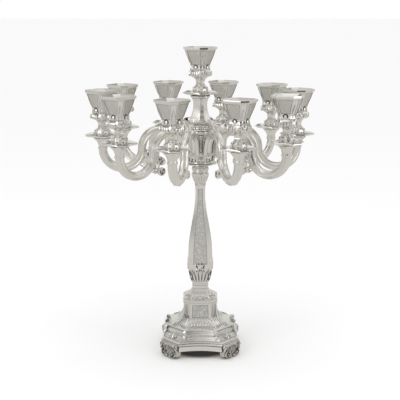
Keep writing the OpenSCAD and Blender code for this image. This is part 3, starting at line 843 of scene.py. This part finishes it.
sink_fields(shaft, on_wide_face, 1.0, 0.4, 1, line=0.6, line_slot=2)
parts = [shaft]
shaded = []
for quarter in range(4):
    turn = 90 * quarter
    for k in (-2, -1, 0, 1, 2):
        # reeds under the crown of leaves
        parts.append(rod(reed_path(turn, k, 0.2, (128, 134, 141, 149)), 1.3))
    for k in (-2.5, -1.5, -0.5, 0.5, 1.5, 2.5):
        # painted shade between the reeds, and a dark dot of painted shade in the hollow under each leaf
        shaded.append(rod(reed_path(turn, k, 0.1, (129, 134, 141, 151)), 0.75))
        hollow = wall(turn, shaft_face(152) - 0.1, 2.6 * k, 152.6 - 0.4 * abs(k))
        shaded.append(bud(hollow, 2.2, 1.1, 0.9, taper=0))
    # dark spots of painted shade in the hollows beside the leaves and scrolls
    for k in (-1, 1):
        shaded.append(bud(wall(turn, shaft_face(160), 6.4 * k, 160, roll=-20 * k), 3.4, 1.6, 0.8, taper=0))
        shaded.append(bud(wall(turn, shaft_face(164), 3.0 * k, 164.5), 2.0, 1.0, 0.8, taper=0))
    for k in (-2, -1, 1, 2):
        leaf = wall(turn, shaft_face(158), 2.9 * k, 157 - 1.2 * abs(k), roll=27 * k, lean=0)
        parts.append(bud(leaf, 6.2 - 0.8 * abs(k), 1.7, 1.4, taper=0.4))
    parts.append(bud(wall(turn, shaft_face(160), 0, 160), 7.2, 2.2, 1.6, taper=0.45))
    parts.append(bud(wall(turn, shaft_face(168), 0, 168.5), 2.2, 2.4, 1.4, taper=0))
    for side in (-1, 1):
        place = wall(turn, shaft_face(165) - 0.2, 0, 0)
        parts.append(spiral((side * 6.6, 164.5), 3.4, 0.7, 1.2, 1.6, 1.2, place,
                            hand=-side, first=90 - side * 60, steps=9))
    narrow = turn + 45
    parts.append(bud(wall(narrow, shaft_face(150, True) + 0.2, 0, 148), 12, 2.3, 1.2, taper=0.2))
    parts.append(bud(wall(narrow, shaft_face(170, True), 0, 168), 5.5, 1.6, 1.0, taper=0.7))
for part in shaded:
    part.data.materials.append(groove_shade)
shaft = join(parts, "baluster", 26)
shaft = join([shaft, join(shaded, "baluster_hollows", 40)], "baluster", 26)
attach(shaft, "stand")
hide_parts("baluster_shaft")


# ---------------------------------------------------------------- capital
# The cast capital on the shaft: a cup of upright leaves, a dark groove and a beaded
# ring. Its turned spigot stands up inside the hub and the branches turn on it.
def round_ring(z, radius, count=48, lobes=0, lobe_depth=0, turn=0):
    """A ring of points, drawn in between its lobes when it has any."""
    ring = []
    for k in range(count):
        a = 2 * math.pi * k / count
        r = radius
        if lobes:
            r -= lobe_depth * (1 - abs(math.cos((a - math.radians(turn)) * lobes / 2)))
        ring.append((r * math.cos(a), r * math.sin(a), z))
    return ring


capital_profile = (
    # height, radius, depth of the cuts between leaves
    (307.0, 9.6, 0), (308.2, 10.2, 0), (309.2, 10.2, 0), (310.0, 9.8, 0.5), (313.0, 11.6, 1.3),
    (317.0, 13.4, 1.7), (321.0, 14.5, 1.7), (324.0, 15.0, 1.4), (326.6, 15.2, 0.9), (327.8, 14.8, 0.3),
    (328.4, 13.4, 0), (329.8, 13.2, 0), (330.4, 14.2, 0), (331.4, 14.4, 0), (332.4, 13.8, 0),
    (339.8, 13.8, 0), (340.6, 14.5, 0), (341.6, 14.3, 0), (341.95, 12.6, 0), (341.95, 8.0, 0),
    (371.2, 8.0, 0), (372.0, 7.2, 0),
)
parts = [pull("capital_cup", [round_ring(z, r, 64, 16 if cut else 0, cut) for z, r, cut in capital_profile])]
BEADS = 18
for k in range(BEADS):
    turn = 360 / BEADS * k
    parts.append(bud(wall(turn, 13.6, 0, 336), 3.3, 2.0, 1.7, taper=0.1))
    parts.append(bud(wall(turn + 180 / BEADS, 13.7, 0, 338.6), 1.0, 0.9, 0.9, taper=0))
for k in range(8):
    parts.append(bud(wall(45 * k, 13.6, 0, 324.4), 2.6, 2.2, 1.9, taper=0.3))
capital = join(parts, "capital_cup", 34)
leaf_silver = silver("leaf_silver", (0.80, 0.785, 0.75, 1), roughness=0.18, spread=0.14, reach=3.5,
                     tarnish_and_shade=0.95)
capital.data.materials.append(leaf_silver)
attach(capital, "stand")
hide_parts("shaft_capital")


# ---------------------------------------------------------------- hub
# The drum that holds the arms: a polished flange below, upright panels between the
# arms, and a top rim that the centre vase closes. The arms are screwed on from inside.
arm_directions = []
for k in range(10):
    low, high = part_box(f"drip_pan_{k + 1:02d}")
    arm_directions.append(math.degrees(math.atan2(low[1] + high[1], low[0] + high[0])))
between_arms = [turn + 18 for turn in arm_directions]
hub_profile = (
    # height, radius, scallop
    (378.0, 16.9, 0), (373.6, 16.9, 0), (373.5, 8.1, 0), (343.6, 8.1, 0), (343.5, 14.5, 0),
    (344.4, 22.0, 0.3), (345.0, 28.6, 1.0), (345.8, 29.9, 1.2), (346.8, 29.4, 1.2), (347.3, 26.8, 0.8),
    (348.2, 25.2, 0.2), (350.0, 24.6, 0), (352.0, 23.0, 0), (398.6, 23.0, 0), (399.6, 24.2, 0),
    (401.4, 24.2, 0), (402.2, 22.6, 0), (404.9, 22.0, 0), (404.9, 17.1, 0), (380.0, 17.0, 0),
)
hub_rings = [round_ring(z, r, 80, 10 if cut else 0, cut, between_arms[0]) for z, r, cut in hub_profile]
hub_body = pull("hub_drum", hub_rings)
bpy.ops.object.mode_set(mode="EDIT")
bpy.ops.mesh.select_all(action="DESELECT")
mesh = bmesh.from_edit_mesh(hub_body.data)
for face in mesh.faces:
    # the two end caps of the pulled shape meet inside the drum, so they go
    face.select = len(face.verts) > 4
bmesh.update_edit_mesh(hub_body.data)
bpy.ops.mesh.delete(type="FACE")
bpy.ops.mesh.select_all(action="DESELECT")
mesh = bmesh.from_edit_mesh(hub_body.data)
for edge in mesh.edges:
    edge.select = edge.is_boundary
bmesh.update_edit_mesh(hub_body.data)
bpy.ops.mesh.bridge_edge_loops()
bpy.ops.mesh.select_all(action="SELECT")
bpy.ops.mesh.normals_make_consistent(inside=False)
bpy.ops.object.mode_set(mode="OBJECT")
parts = [hub_body]
for turn in between_arms:
    for side in (-1, 1):
        edge_path = [Matrix.Rotation(math.radians(turn), 3, "Z") @ Vector((24.0, side * 3.5, z))
                     for z in (363, 370, 384, 394)]
        parts.append(rod(edge_path, 0.9))
    parts.append(bud(wall(turn, 23.2, 0, 379), 14.5, 2.5, 1.1, taper=0.05, segments=10))
    parts.append(bud(wall(turn, 23.6, 0, 396.5), 1.6, 4.2, 1.8, taper=0))
    for z, across in ((367.5, 1.7), (359.0, 1.5)):
        parts.append(bud(wall(turn, 24.2, 0, z), 1.1, across + 1.6, 1.4, taper=0))
    for side in (-1, 1):
        parts.append(bud(wall(turn, 23.8, side * 3.0, 355.0, roll=side * 20), 4.0, 1.5, 1.6))
    parts.append(bud(wall(turn, 28.0, 0, 346.4), 1.2, 2.6, 1.4, taper=0))
hub = join(parts, "hub_drum", 32)
arm_silver = silver("arm_silver", (0.85, 0.835, 0.80, 1), roughness=0.17, spread=0.12, reach=3.5,
                    tarnish_and_shade=0.75)
hub.data.materials.append(leaf_silver)
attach(hub, "branches")
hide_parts("branch_hub")


# ---------------------------------------------------------------- arms
# Ten cast arms, each an S of ridged eight-sided tube that ends in a trumpet for the
# drip pan. A leaf lies on the crown and curls up at the stem, a pierced scroll hangs
# inside the middle limb, and a rosette covers the fixing at the hub.
low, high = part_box("drip_pan_03")
ARM_REACH = math.hypot(low[0] + high[0], low[1] + high[1]) / 2 / MM
BEND = 34.5
BEND_Z = 373
ARCH_X = ARM_REACH - 3 * BEND
BOWL_X = ARM_REACH - BEND
LIMB_X = ARM_REACH - 4 * BEND
PAN_SEAT_Z = 393
TUBE = 7.9


def tube_ring(x, z, lean, size=1.0):
    """Ridged section of the tube: lean is the direction of its outer face from +X, in the x-z plane."""
    a = math.radians(lean)
    out = Vector((math.cos(a), 0, math.sin(a)))
    ring = []
    for k in range(8):
        for offset, r in ((-19, TUBE * 0.925), (0, TUBE * 0.905), (19, TUBE * 0.925), (22.5, TUBE)):
            t = math.radians(45 * k + offset)
            point = Vector((x, 0, z)) + size * r * (math.cos(t) * out + math.sin(t) * Vector((0, 1, 0)))
            ring.append(tuple(point))
    return ring


arm_rings = [tube_ring(LIMB_X, BEND_Z - 10.5, 180, 0.35), tube_ring(LIMB_X, BEND_Z - 9.4, 180, 0.75),
             tube_ring(LIMB_X, BEND_Z - 7.0, 180, 0.97)]
ARC_STEPS = 26
for k in range(ARC_STEPS + 1):
    lean = 180 - 180 * k / ARC_STEPS
    a = math.radians(lean)
    arm_rings.append(tube_ring(ARCH_X + BEND * math.cos(a), BEND_Z + BEND * math.sin(a), lean))
for k in range(1, ARC_STEPS + 1):
    lean = 180 * k / ARC_STEPS
    a = math.radians(180 + lean)
    arm_rings.append(tube_ring(BOWL_X + BEND * math.cos(a), BEND_Z + BEND * math.sin(a), lean))
trumpet = (
    # height, size against the tube
    (373.2, 1.12), (374.2, 1.16), (376.0, 1.16), (376.8, 1.06), (378.5, 1.02), (381.0, 1.07),
    (384.0, 1.20), (386.6, 1.38), (388.8, 1.60), (390.4, 1.82), (391.2, 1.92), (391.4, 2.02),
    (392.6, 2.06), (PAN_SEAT_Z, 2.0), (PAN_SEAT_Z, 0.7),
)
for z, size in trumpet:
    arm_rings.append(tube_ring(ARM_REACH, z, 180, size))
spigot = ((PAN_SEAT_Z + 0.01, 0.632), (PAN_SEAT_Z + 13, 0.632), (PAN_SEAT_Z + 14, 0.54))
arm_parts = [pull("arm_tube", arm_rings)]
arm_parts.append(pull("arm_spigot", [[(x + ARM_REACH, y, z) for x, y, z in round_ring(z, r * TUBE, 32)]
                                     for z, r in ((PAN_SEAT_Z - 1, 5.0 / TUBE),) + spigot]))
# leaf on the crown: flat root on the tube, tip rolled up
leaf_path = [(82, 411.2, 2.0, 1.0), (77, 414.6, 3.4, 1.6), (72, 417.0, 4.2, 2.0), (67, 418.2, 4.4, 2.2),
             (62, 418.8, 4.2, 2.2), (58, 419.6, 3.8, 2.0), (55, 420.4, 3.4, 1.8), (52.4, 419.6, 3.2, 1.7),
             (51.2, 417.4, 3.0, 1.6), (52.4, 415.3, 2.8, 1.5),
             (54.6, 415.2, 2.6, 1.3), (55.4, 416.8, 2.4, 1.0)]
leaf_rings = []
for k, (x, z, half, thick) in enumerate(leaf_path):
    ahead = Vector(leaf_path[min(k + 1, len(leaf_path) - 1)][:2]) - Vector(leaf_path[max(k - 1, 0)][:2])
    ahead.normalize()
    lift = Vector((ahead.y, -ahead.x)) * -1
    ring = []
    for across, rise in ((-1, 0), (-0.55, 0.7), (-0.2, 0.35), (0, 0.9), (0.2, 0.35), (0.55, 0.7), (1, 0),
                         (0, -0.8)):
        ring.append((x - lift.x * rise * thick, across * half, z - lift.y * rise * thick))
    leaf_rings.append(ring)
arm_parts.append(pull("crown_leaf", leaf_rings))
for side in (-1, 1):
    side_leaf = wall(0, 75, side * 3.2, 414.4, roll=side * 30) @ Matrix.Rotation(1.2, 4, "X")
    arm_parts.append(bud(side_leaf, 5, 1.6, 1.4))
# pierced scroll inside the middle limb
side_on = Matrix.Identity(4)
arm_parts.append(spiral((85, 341), 8.0, 1.4, 1.75, 7.4, 3.2, side_on, hand=-1, first=30, steps=14))
arm_parts.append(spiral((88.6, 362.5), 5.2, 1.2, 1.3, 6.6, 2.4, side_on, hand=1, first=-70, steps=12))
for path, radius in (
    (((98.5, 0, 374), (94.6, 0, 368), (92.6, 0, 360), (92.0, 0, 352), (92.2, 0, 345)), 2.3),
    (((97.5, 0, 366), (99.4, 0, 358), (102.5, 0, 350), (107, 0, 344)), 1.8),
    (((91, 0, 345), (95, 0, 340), (100, 0, 339.5), (107, 0, 343)), 2.2),
):
    arm_parts.append(rod(path, radius))
for x, z in ((96.6, 366.5), (97.0, 356.0), (97.4, 346.5)):
    arm_parts.append(bud(Matrix.Translation(Vector((x, 0, z)) * MM), 1.7, 4.4, 3.2, taper=0))
arm_parts.append(bud(wall(0, 100, 0, 341.5, roll=0), 3.0, 3.4, 2.4, taper=0))
# rosette at the hub, and the pad that bears on the drum
for k in range(6):
    a = math.radians(60 * k)
    petal = wall(0, LIMB_X + 7.6, 3.2 * math.cos(a), 364.6 + 3.2 * math.sin(a))
    arm_parts.append(bud(petal, 1.9, 1.9, 1.9, taper=0))
arm_parts.append(bud(wall(0, LIMB_X + 9.0, 0, 364.6), 1.7, 1.7, 1.5, taper=0))
arm_parts.append(bud(wall(0, LIMB_X + 5.0, 0, 363.6), 5.2, 5.2, 4.6, taper=0, segments=14, rows=9))
bpy.ops.object.select_all(action="DESELECT")
bpy.ops.mesh.primitive_cube_add(size=1)
pad = bpy.context.object
for vert in pad.data.vertices:
    vert.co = Vector(((25.6 + 3.2 * vert.co.x), 10.5 * vert.co.y, 384 + 15 * vert.co.z)) * MM
bevel = pad.modifiers.new("edge", "BEVEL")
bevel.width = 0.8 * MM
bpy.ops.object.modifier_apply(modifier=bevel.name)
arm_parts.append(pad)
arm = join(arm_parts, "arm_pattern", 24)
arm.data.materials.append(arm_silver)
for k, turn in enumerate(arm_directions):
    piece = twin(arm, f"arm_{k + 1:02d}_cast", Matrix.Rotation(math.radians(turn), 4, "Z"))
    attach(piece, "branches")
    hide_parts(f"arm_{k + 1:02d}")
discard(arm)


# ---------------------------------------------------------------- centre vase
# The stem of the centre light: an ornamented round foot with a ring of leaves, then
# an eight-sided polished vase that flares to a small disc under the centre pan.
CENTRE_TURN = 12
vase_tiers = (
    (413.6, 16.6), (414.4, 17.4), (416.0, 17.7), (416.7, 17.0), (417.4, 17.3), (418.6, 18.7), (421, 19.0),
    (424, 18.7), (427, 17.4), (430.5, 15.9), (436, 14.1), (442, 12.7), (448, 12.2), (454, 12.4),
    (458, 13.2), (461.4, 15.0), (463.0, 16.6),
)
vase = pull("centre_vase", [octagon_ring(z, r, CENTRE_TURN, 0.012) for z, r in vase_tiers])
vase_foot = pull("vase_foot", [round_ring(z, r, 48) for z, r in (
    (400.2, 16.8), (405.0, 16.8), (405.1, 20.4), (406.0, 21.4), (407.2, 20.6), (408.0, 19.0), (411.0, 18.2),
    (412.0, 19.0), (412.8, 19.4), (413.8, 18.6), (414.0, 16.0))])
disc = pull("vase_disc", [round_ring(z, r, 48) for z, r in (
    (462.6, 14.0), (462.9, 16.6), (463.6, 17.2), (465.6, 17.2), (466.4, 16.6), (466.5, 14.0))])
pin = pull("vase_spigot", [round_ring(z, r, 32) for z, r in ((465.5, 5.0), (479.6, 5.0), (480.5, 4.2))])
parts = [vase, vase_foot, disc, pin]
for k in range(16):
    turn = 22.5 * k + CENTRE_TURN
    parts.append(bud(wall(turn, 18.4, 0, 409.4), 2.6, 2.6, 2.0, taper=0.3))
    parts.append(bud(wall(turn + 11.25, 19.4, 0, 408.2), 1.2, 1.0, 1.2, taper=0))
for quarter in range(4):
    wide = CENTRE_TURN + 45 + 90 * quarter
    for k in (-1, 0, 1):
        parts.append(bud(wall(wide, 15.4, 4.0 * k, 422.5, roll=-16 * k, lean=12), 5.4, 2.2, 1.6, taper=0.5))
vase = join(parts, "centre_vase", 26)
vase.data.materials.append(shaft_silver)
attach(vase, "branches")
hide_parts("hub_vase")


# ---------------------------------------------------------------- drip pans
# Eleven thin eight-sided dishes, spun and polished bright: a rolled rim that rises a
# little along the wide sides, and a flat floor for the knop. Each lies loose on its arm.
pan_section = (
    # radius, height over the rim's level, share of the rim's wave
    (5.1, -2.0, 0), (5.1, -4.0, 0), (15.6, -4.0, 0), (16.6, -3.9, 0), (20, -3.2, 0.15), (24, -2.4, 0.45),
    (28, -1.5, 0.8), (30.4, -0.7, 1), (31.0, 0.1, 1), (30.8, 0.9, 1), (30.0, 1.2, 1), (29.2, 0.8, 1),
    (27.6, -0.2, 0.8), (24, -1.1, 0.45), (19.6, -1.8, 0.1), (17.6, -2.1, 0), (16.8, -1.4, 0), (16.0, -1.4, 0),
    (15.2, -2.0, 0), (9.0, -2.0, 0),
)
WAVE = 1.8


def pan_ring(radius, z, share):
    """Ring of a drip pan: straight narrow sides, wide sides that bow out and rise."""
    ring = []
    half = 45 - NARROW_HALF
    for quarter in range(4):
        a = math.radians(90 * quarter + 45)
        for k in range(9):
            u = k / 4 - 1
            bow = 1 - u * u
            across = radius * math.sin(math.radians(half)) * u
            out = radius * (math.cos(math.radians(half)) + 0.02 * bow)
            ring.append((out * math.cos(a) - across * math.sin(a), out * math.sin(a) + across * math.cos(a),
                         z + WAVE * share * bow))
    return ring


pan = pull("pan_pattern", [pan_ring(*row) for row in pan_section])
bpy.ops.object.mode_set(mode="EDIT")
bpy.ops.mesh.select_all(action="DESELECT")
mesh = bmesh.from_edit_mesh(pan.data)
for face in mesh.faces:
    face.select = len(face.verts) > 4
bmesh.update_edit_mesh(pan.data)
bpy.ops.mesh.delete(type="FACE")
bpy.ops.mesh.select_all(action="DESELECT")
mesh = bmesh.from_edit_mesh(pan.data)
for edge in mesh.edges:
    edge.select = edge.is_boundary
bmesh.update_edit_mesh(pan.data)
bpy.ops.mesh.bridge_edge_loops()
bpy.ops.mesh.select_all(action="SELECT")
bpy.ops.mesh.normals_make_consistent(inside=False)
bpy.ops.object.mode_set(mode="OBJECT")
pan = join([pan], "pan_pattern", 24)
pan_silver = silver("pan_silver", (0.87, 0.86, 0.83, 1), roughness=0.08, spread=0.08, reach=5, tarnish_and_shade=0.6)
pan.data.materials.append(pan_silver)


# ---------------------------------------------------------------- knops
# Under every cup sits a domed rosette, cast with petals and pierced dots, and screwed
# to the cup by a stud. It slips over the arm's spigot together with the pan.
knop_profile = (
    (-2.0, 5.1, 0), (-2.0, 13.0, 0), (-1.0, 13.7, 0), (0.0, 13.6, 0), (0.6, 12.8, 0.2), (2.4, 13.7, 0.5),
    (5.0, 13.8, 0.7), (7.6, 13.2, 0.7), (10.0, 12.0, 0.6), (12.2, 10.4, 0.4),
    (13.8, 8.8, 0.2), (14.6, 7.6, 0), (15.4, 7.6, 0),
)
parts = [pull("knop_dome", [round_ring(z, r, 48, 8 if cut else 0, cut) for z, r, cut in knop_profile])]
for k in range(8):
    parts.append(bud(wall(45 * k, 12.9, 0, 5.4, lean=-8), 5.0, 2.4, 1.3, taper=0.3))
    parts.append(bud(wall(45 * k + 22.5, 13.2, 0, 0.8), 1.2, 1.6, 1.2, taper=0))
knop = join(parts, "knop_pattern", 34)
knop.data.materials.append(leaf_silver)
# the piercings are drawn as near-black discs: painted shade where the holes are
hole_parts = []
for k in range(8):
    hole_parts.append(bud(wall(45 * k + 22.5, 13.0, 0, 4.0), 1.3, 1.3, 0.5, taper=0))
    hole_parts.append(bud(wall(45 * k + 22.5, 11.4, 0, 9.8, lean=-28), 1.2, 1.2, 0.5, taper=0))
dots = join(hole_parts, "knop_dots", 60)
hole_shade = silver("painted_hole_shade", (0.09, 0.085, 0.08, 1), roughness=0.45, spread=0.2, reach=3, tarnish_and_shade=0.9)
dots.data.materials.append(hole_shade)
knop = join([knop, dots], "knop_pattern", 34)


# ---------------------------------------------------------------- candle cups
# Eight-sided cast cups: a lobed bulge, four wide satin fields in raised frames, each
# with a shell at its foot, narrow faces with a long drop, and a plain polished rim
# round the recess and the round candle holder.
cup_profile = (
    # height, corner radius, swell of each face
    (15.5, 7.6, 0), (17.0, 7.9, 0), (18.4, 7.2, 0), (21.0, 7.6, 0), (24.0, 9.0, 0.02), (26.8, 11.6, 0.05),
    (28.6, 14.6, 0.08), (30.6, 17.2, 0.10), (32.6, 18.8, 0.10), (34.4, 19.4, 0.09), (36.6, 18.8, 0.06),
    (38.6, 17.8, 0.03), (40.0, 17.3, 0), (41.4, 17.9, 0), (42.4, 17.4, 0), (45.0, 17.0, 0), (48.0, 17.1, 0),
    (51.0, 17.9, 0), (55.0, 19.5, 0), (59.5, 21.5, 0), (64.0, 23.4, 0), (68.0, 24.9, 0), (71.4, 26.1, 0),
    (74.6, 27.2, 0), (75.2, 27.4, 0), (75.6, 28.8, 0), (76.0, 29.4, 0), (79.0, 29.7, 0), (79.3, 29.6, 0),
    (79.5, 29.2, 0), (79.5, 27.8, 0), (78.6, 27.0, 0), (75.6, 23.8, 0), (73.4, 21.4, 0), (73.0, 18.5, 0),
)
cup_body = pull("cup_body", [octagon_ring(z, r, 0, lobe) for z, r, lobe in cup_profile])
satin_work = chasing_group("satin_matting", 700, 0.002, 1600)
cup_silver = silver("cup_silver", roughness=0.13, spread=0.1, reach=3.2, tarnish_and_shade=0.85)
cup_field = silver("cup_field", (0.94, 0.92, 0.87, 1), roughness=0.36, spread=0.12, reach=3, tarnish_and_shade=0.4,
                   chasing=satin_work)
for paint in (cup_silver, cup_field, groove_shade):
    cup_body.data.materials.append(paint)


def face_out(z, narrow=False):
    """Distance of a cup face from the cup's middle, at one height."""
    for low, high in zip(cup_profile, cup_profile[1:]):
        if low[0] <= z <= high[0]:
            r = low[1] + (z - low[0]) / (high[0] - low[0]) * (high[1] - low[1])
            return r * math.cos(math.radians(NARROW_HALF if narrow else 45 - NARROW_HALF))


def on_cup_field(centre, normal):
    angle = math.degrees(math.atan2(centre.y, centre.x)) % 90
    flat = math.hypot(centre.x, centre.y)
    return 48 < centre.z < 74.6 and abs(angle - 45) < 45 - NARROW_HALF and normal.z < 0.5 and flat > 12


def on_narrow_face(centre, normal):
    angle = math.degrees(math.atan2(centre.y, centre.x)) % 90
    flat = math.hypot(centre.x, centre.y)
    return 45 < centre.z < 74.6 and min(angle, 90 - angle) < NARROW_HALF and normal.z < 0.5 and flat > 12


sink_fields(cup_body, on_cup_field, 1.0, 0.45, 1, line=0.7, line_slot=2)
sink_fields(cup_body, on_narrow_face, 0.9, 0.4, 0, line=0.5, line_slot=2)
# the round candle holder is sunk into the recess's floor
bpy.ops.object.mode_set(mode="EDIT")
bpy.ops.mesh.select_all(action="DESELECT")
mesh = bmesh.from_edit_mesh(cup_body.data)
for face in mesh.faces:
    face.select = len(face.verts) > 8 and face.calc_center_median().z > 0.07
bmesh.update_edit_mesh(cup_body.data)
SOCKET = 11.2


def set_hole(radius, z):
    """Extrudes the selected face once more and puts its edge on a circle."""
    bpy.ops.mesh.extrude_region_move()
    edit = bmesh.from_edit_mesh(cup_body.data)
    for vert in (v for v in edit.verts if v.select):
        a = math.atan2(vert.co.y, vert.co.x)
        vert.co = Vector((radius * math.cos(a), radius * math.sin(a), z)) * MM
    bmesh.update_edit_mesh(cup_body.data)


for radius, z in ((12.6, 73.0), (12.4, 73.6), (SOCKET, 73.6), (SOCKET, 72.0), (SOCKET, 47.2),
                  (SOCKET - 1, 47.0)):
    set_hole(radius, z)
bpy.ops.mesh.select_all(action="SELECT")
bpy.ops.mesh.normals_make_consistent(inside=False)
bpy.ops.object.mode_set(mode="OBJECT")
parts = [cup_body]
dark_parts = []
for quarter in range(4):
    wide = 45 + 90 * quarter
    narrow = 90 * quarter
    # a round boss in a ring of painted shade at the foot of each field
    dark_parts.append(bud(wall(wide, face_out(45) - 0.1, 0, 45.0), 5.2, 5.2, 0.9, taper=0, segments=12))
    parts.append(bud(wall(wide, face_out(45) + 0.2, 0, 44.6), 3.5, 3.3, 1.8, taper=0.1, segments=12))
    for side in (-1, 1):
        parts.append(spiral((side * 6.6, 41.0), 2.0, 0.6, 1.1, 1.4, 1.0,
                            wall(wide, face_out(40.6) - 0.1, 0, 0),
                            hand=side, first=90, steps=8))
        parts.append(bud(wall(wide, face_out(34) + 1.6, side * 4.4, 33.6, roll=side * 14), 4.2, 2.6, 1.6,
                         taper=0.2))
    parts.append(bud(wall(wide, face_out(34) + 1.6, 0, 33.4), 4.8, 2.4, 1.6, taper=0.3))
    parts.append(bud(wall(narrow, face_out(58, True) - 0.2, 0, 57, lean=-24), 8.6, 1.7, 1.1, taper=0.45))
    parts.append(bud(wall(narrow, face_out(45, True), 0, 44.4), 3.6, 1.7, 1.1, taper=0.3))
    parts.append(bud(wall(narrow, face_out(34, True) + 0.9, 0, 33.6), 4.6, 3.2, 1.8, taper=0.3))
    # dark dots of painted shade either side on each narrow face
    for side in (-1, 1):
        dark_parts.append(bud(wall(narrow, face_out(40, True) - 0.1, side * 2.9, 40.0), 1.8, 0.8, 0.7,
                              taper=0))
for part in dark_parts:
    part.data.materials.append(hole_shade)
cup = join(parts, "cup_pattern", 26)
dark = join(dark_parts, "cup_hollows", 40)
cup = join([cup, dark], "cup_pattern", 26)

# each nozzle is screwed up at its own angle, so the flats face slightly different ways
cup_turns = (8, 15, 28, 6, 12, 8, 15, 12, 6, 12, CENTRE_TURN)
CUP_RIM = 79.5
for k, turn in enumerate(cup_turns):
    tag = f"{k + 1:02d}"
    low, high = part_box("candle_cup_" + tag)
    level = high[2] - CUP_RIM * MM
    stand_at = Matrix.Translation(Vector(((low[0] + high[0]) / 2, (low[1] + high[1]) / 2, level)))
    stand_at = stand_at @ Matrix.Rotation(math.radians(turn), 4, "Z")
    for pattern, name, node, slot in (
        (pan, "pan_", "drip_pan_", "silver_pans"),
        (knop, "knop_", "cup_knop_", "silver_cups"),
        (cup, "cup_", "candle_cup_", "silver_cups"),
    ):
        piece = twin(pattern, name + tag + "_cast", stand_at)
        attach(piece, "nozzle_" + tag)
        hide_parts(node + tag)
for pattern in (pan, knop, cup):
    discard(pattern)


# ---------------------------------------------------------------- fixings
# Plain parts that hold the candelabrum together and are seen only from below or when
# it is apart: zinc-plated screws, nut and tie rod, and a turned brass thrust washer.
def turned_metal(name, tone, roughness):
    """Machined metal with fine turning marks across its axis."""
    paint = bpy.data.materials.new(name)
    paint.use_nodes = True
    nodes, link = paint.node_tree.nodes, paint.node_tree.links.new
    shader = nodes["Principled BSDF"]
    shader.inputs["Metallic"].default_value = 1
    place = nodes.new("ShaderNodeTexCoord")
    rings_cut = nodes.new("ShaderNodeTexWave")
    rings_cut.bands_direction = "Z"
    rings_cut.inputs["Scale"].default_value = 700
    rings_cut.inputs["Distortion"].default_value = 1.5
    bump = nodes.new("ShaderNodeBump")
    bump.inputs["Strength"].default_value = 0.25
    bump.inputs["Distance"].default_value = 0.2 * MM
    marks = nodes.new("ShaderNodeGroup")
    marks.node_tree = HANDLING
    marks.inputs["Gloss"].default_value = roughness
    marks.inputs["Spread"].default_value = 0.2
    marks.inputs["Scale"].default_value = 90
    hollow = nodes.new("ShaderNodeGroup")
    hollow.node_tree = HOLLOW_TARNISH_AND_SHADE
    hollow.inputs["Bright"].default_value = tone
    hollow.inputs["Tarnish and shade"].default_value = BLACK_TARNISH_AND_SHADE
    hollow.inputs["Reach"].default_value = 3 * MM
    hollow.inputs["Amount"].default_value = 0.5
    link(place.outputs["Object"], rings_cut.inputs["Vector"])
    link(rings_cut.outputs["Fac"], bump.inputs["Height"])
    link(bump.outputs["Normal"], shader.inputs["Normal"])
    link(marks.outputs["Roughness"], shader.inputs["Roughness"])
    link(hollow.outputs["Color"], shader.inputs["Base Color"])
    return paint


zinc = turned_metal("zinc_fixings", (0.62, 0.63, 0.64, 1), 0.35)
brass = turned_metal("turned_brass", (0.78, 0.60, 0.30, 1), 0.25)
for node, paint in (("foot_screws", zinc), ("tie_rod", zinc), ("base_nut", zinc), ("arm_screws", zinc),
                    ("thrust_washer", brass)):
    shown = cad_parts[node]
    shown.data.materials.clear()
    shown.data.materials.append(paint)
